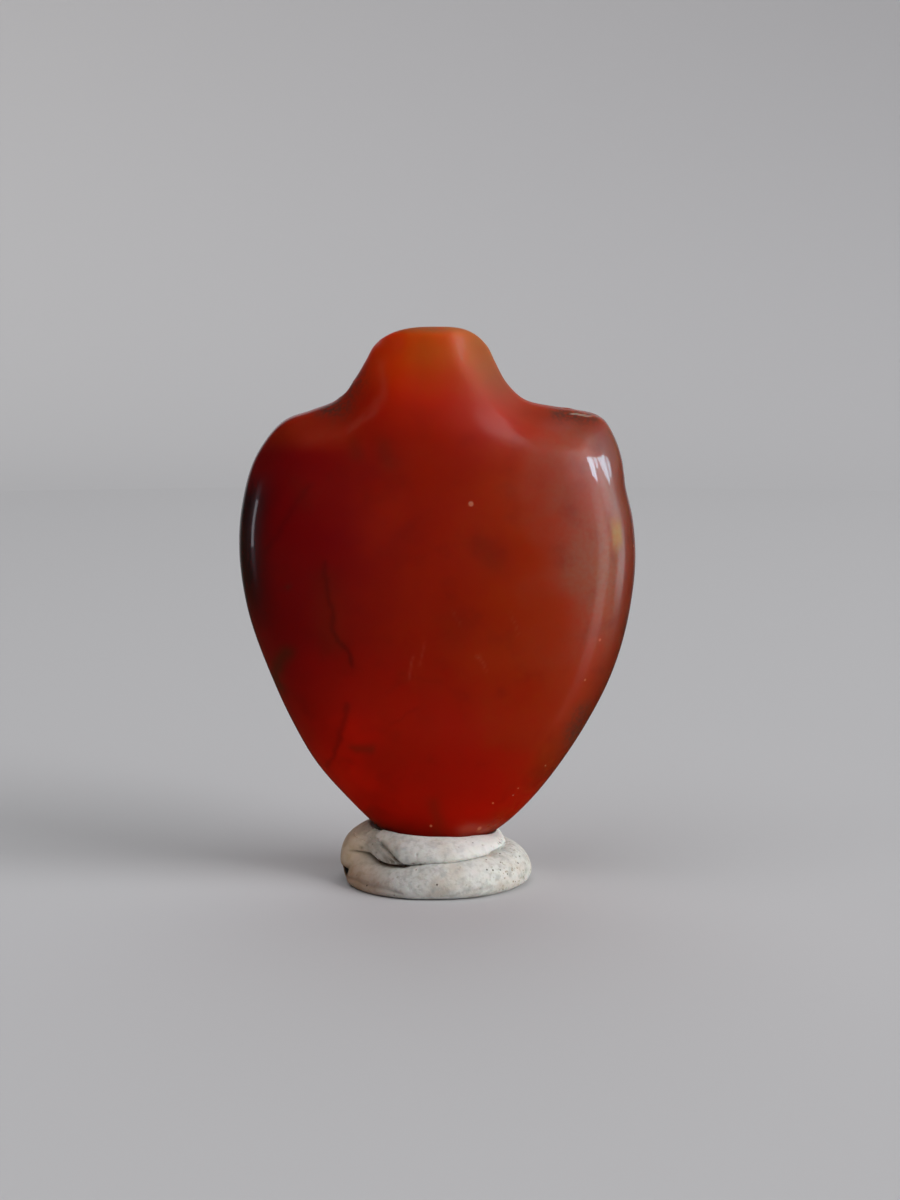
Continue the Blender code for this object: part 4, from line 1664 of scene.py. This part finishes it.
@dataclass(frozen=True)
class WindowPane:
    """A bright pane that the polish mirrors.

    Args:
        name: which pane it is.
        corners: azimuth and elevation of its corners in order, in degrees.
        radiance: how bright it is, where 1 is a full white.
        distance: how far off it stands.
        color: its light.
    """

    name: str
    corners: Stations
    radiance: float
    distance: float = 0.6
    color: str = "#c8ecff"

    def build(self) -> None:
        """Adds the pane as one glowing face that only mirrored light sees."""
        mesh = bpy.data.meshes.new(self.name)
        corners = [Direction(*corner).vector() * self.distance for corner in self.corners]
        mesh.from_pydata(corners, [], [tuple(range(len(corners)))])
        material = bpy.data.materials.new(self.name)
        material.use_nodes = True
        tree = material.node_tree
        tree.nodes.remove(tree.nodes["Principled BSDF"])
        glow = add_node(tree, "Emission", inputs={"Color": linear(self.color), "Strength": self.radiance})
        tree.links.new(glow.outputs[0], tree.nodes["Material Output"].inputs["Surface"])
        mesh.materials.append(material)
        pane = bpy.data.objects.new(self.name, mesh)
        bpy.context.scene.collection.objects.link(pane)
        pane.visible_camera = pane.visible_diffuse = pane.visible_shadow = False


@dataclass(frozen=True)
class RoomGlow:
    """A soft-edged patch of the room's light that the polish mirrors.

    Args:
        toward: the middle of the patch.
        half: how far it is full from its middle, in azimuth and elevation, in degrees.
        fade: over how many degrees it fades beyond that, in azimuth and elevation.
        color: its light.
        radiance: how bright it is, where 1 is a full white.
    """

    toward: Direction
    half: tuple[float, float]
    fade: tuple[float, float]
    color: str
    radiance: float = 1.0

    def share(self, wiring: Wiring, toward: Any, elevation: Any) -> Any:
        """How much of the patch shows in each direction.

        Args:
            wiring: the world's node tree.
            toward: the output with the direction looked in.
            elevation: the output with its elevation in degrees.
        Returns:
            The output with a share between 0 and 1.
        """
        turn = math.radians(self.toward.azimuth)
        ahead, aside = (
            add_node(wiring.tree, "VectorMath", {"operation": "DOT_PRODUCT"}, {0: toward, 1: axis})
            for axis in ((math.sin(turn), -math.cos(turn), 0.0), (math.cos(turn), math.sin(turn), 0.0))
        )
        azimuth = wiring.maths("ARCTAN2", aside.outputs["Value"], ahead.outputs["Value"])
        azimuth = wiring.maths("DEGREES", azimuth)
        off = (azimuth, wiring.maths("SUBTRACT", elevation, self.toward.elevation))
        shares = (
            wiring.rise(wiring.maths("ABSOLUTE", angle), half + fade, half)
            for angle, half, fade in zip(off, self.half, self.fade)
        )
        return wiring.maths("MULTIPLY", *shares)


@dataclass
class Studio:
    """A plain pale floor that sweeps up into a pale wall, soft boxes, and the room the polish mirrors."""

    floor_color: str = "#cacacd"
    floor_start: float = 0.1 * MM
    floor_radius: float = 0.26
    sweep_radius: float = 0.16
    wall_height: float = 0.60
    floor_sides: int = 96
    sweep_steps: int = 16
    room_dark: str = "#100e0d"
    table: str = "#2c2118"
    glows: tuple[RoomGlow, ...] = (
        RoomGlow(Direction(180, 15), (12, 10), (30, 20), "#b4b6ba"),
        RoomGlow(Direction(125, 24), (12, 8), (16, 18), "#7e8068"),
        RoomGlow(Direction(50, 30), (16, 10), (16, 13), "#fff8f4", 1.0),
        RoomGlow(Direction(0, 90), (180, 12), (10, 8), "#8c8c90"),
        RoomGlow(Direction(-95, 2), (2, 6), (6, 14), "#b4bccc", 0.5),
        RoomGlow(Direction(95, -5), (5, 2), (9, 16), "#f4f6ff", 1.7),
        RoomGlow(Direction(92, 9), (6, 1), (8, 6), "#f0f8ff", 0.9),
        RoomGlow(Direction(78, 17), (4, 3), (8, 7), "#f0f8ff", 1.7),
        RoomGlow(Direction(86, 3), (8, 1), (7, 6), "#f4f07c", 2.2),
        RoomGlow(Direction(59, -9), (3, 10), (9, 18), "#fff4f2", 0.95),
    )
    soft_lights: tuple[SoftLight, ...] = (
        SoftLight("key_light", Direction(66, 26), 0.68, 0.55),
        SoftLight("top_light", Direction(-40, 62), 0.31, 0.80),
        SoftLight("back_light", Direction(178, 52), 0.24, 0.80),
    )
    panes: tuple[WindowPane, ...] = (
        WindowPane("window_left_pane", ((57, 33), (71.5, 30.5), (67, 17), (65.5, 14.5), (57, 18)), 13.5),
        WindowPane("window_left_frame", ((73.5, 30), (81.5, 28), (78, 21.5), (71, 21.5)), 9.5),
        WindowPane(
            "window_right_pane",
            ((82.5, 28), (90, 26), (97, 25), (95, 13), (92, 12.5), (88, 15), (85, 20)),
            9.5,
        ),
        WindowPane(
            "window_right_frame",
            ((98.5, 23.5), (101, 21.5), (102, 19), (101, 15), (99, 13), (96.5, 14)),
            7.0,
        ),
        WindowPane("left_strip", ((-96, 12), (-90, 12), (-93, -3), (-99, -3)), 2.0, color="#f2f4ff"),
    )

    def sweep(self, name: str, radii: Array, heights: Array) -> bpy.types.Object:
        """A surface turned round the amulet's axis, with the floor's finish.

        Args:
            name: its name.
            radii: the radius of each ring.
            heights: the height of each ring.
        Returns:
            The surface, marked as stage.
        """
        turn = np.linspace(0.0, 2 * math.pi, self.floor_sides, endpoint=False)
        x, y = (radii[:, None] * side for side in (np.cos(turn), np.sin(turn)))
        points = np.stack([x, y, np.broadcast_to(heights[:, None], x.shape)], axis=-1).reshape(-1, 3)
        index = np.arange(len(points)).reshape(x.shape)
        surface = add_piece(name, points, grid_faces(np.hstack([index, index[:, :1]])), {})
        material = bpy.data.materials.get("pale_paper") or bpy.data.materials.new("pale_paper")
        material.use_nodes = True
        shader = material.node_tree.nodes["Principled BSDF"]
        shader.inputs["Base Color"].default_value = linear(self.floor_color)
        shader.inputs["Roughness"].default_value = 1.0
        shader.inputs["Specular IOR Level"].default_value = 0.0
        surface.data.materials.append(material)
        surface.visible_glossy = False
        return surface

    def build_room(self) -> None:
        """Makes the world: dark room, glows with soft edges, and the table below the horizon."""
        world = bpy.data.worlds.new("room")
        world.use_nodes = True
        wiring = Wiring(world.node_tree)
        toward = add_node(wiring.tree, "TexCoord").outputs["Generated"]
        height = add_node(wiring.tree, "SeparateXYZ", inputs={0: toward}).outputs["Z"]
        elevation = wiring.maths("DEGREES", wiring.maths("ARCSINE", height))
        color = wiring.over(self.room_dark, self.table, wiring.rise(height, 0.02, -0.06))
        for glow in self.glows:
            light = tuple(level * glow.radiance for level in linear(glow.color))
            color = wiring.over(color, light, glow.share(wiring, toward, elevation))
        wiring.tree.links.new(color, wiring.tree.nodes["Background"].inputs["Color"])
        bpy.context.scene.world = world

    def build(self) -> None:
        """Adds floor, wall, room, soft boxes and panes."""
        self.sweep("floor", np.array([self.floor_start, self.floor_radius]), np.zeros(2))
        angle = np.linspace(0.0, math.pi / 2, self.sweep_steps)
        radii = self.floor_radius + self.sweep_radius * np.append(np.sin(angle), 1.0)
        heights = np.append(self.sweep_radius * (1.0 - np.cos(angle)), self.wall_height)
        wall = self.sweep("wall", radii, heights)
        wall.visible_diffuse = wall.visible_shadow = False
        self.build_room()
        for light in (*self.soft_lights, *self.panes):
            light.build()
        bpy.context.scene.view_settings.view_transform = "Standard"


def main() -> None:
    """Builds the pieces in order and says what each one holds."""
    logging.basicConfig(level=logging.INFO, format="%(name)s: %(message)s")
    Viewpoint().build()
    stone = HeartStone(*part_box("heart_amulet"))
    heart = stone.build()
    heart.data.materials.append(Carnelian(stone.half_width, stone.low.z, stone.height).material())
    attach(heart, "root")
    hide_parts("heart_amulet")
    LOG.info("%s: %d vertices", heart.name, len(heart.data.vertices))
    rope = PuttyRope(stone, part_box("putty_coil")[0]).build()
    rope.data.materials.append(Putty(stone.half_width / 2).material())
    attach(rope, "root")
    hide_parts("putty_coil")
    rope.visible_glossy = False
    LOG.info("%s: %d vertices", rope.name, len(rope.data.vertices))
    Studio().build()


if __name__ == "__main__":
    main()
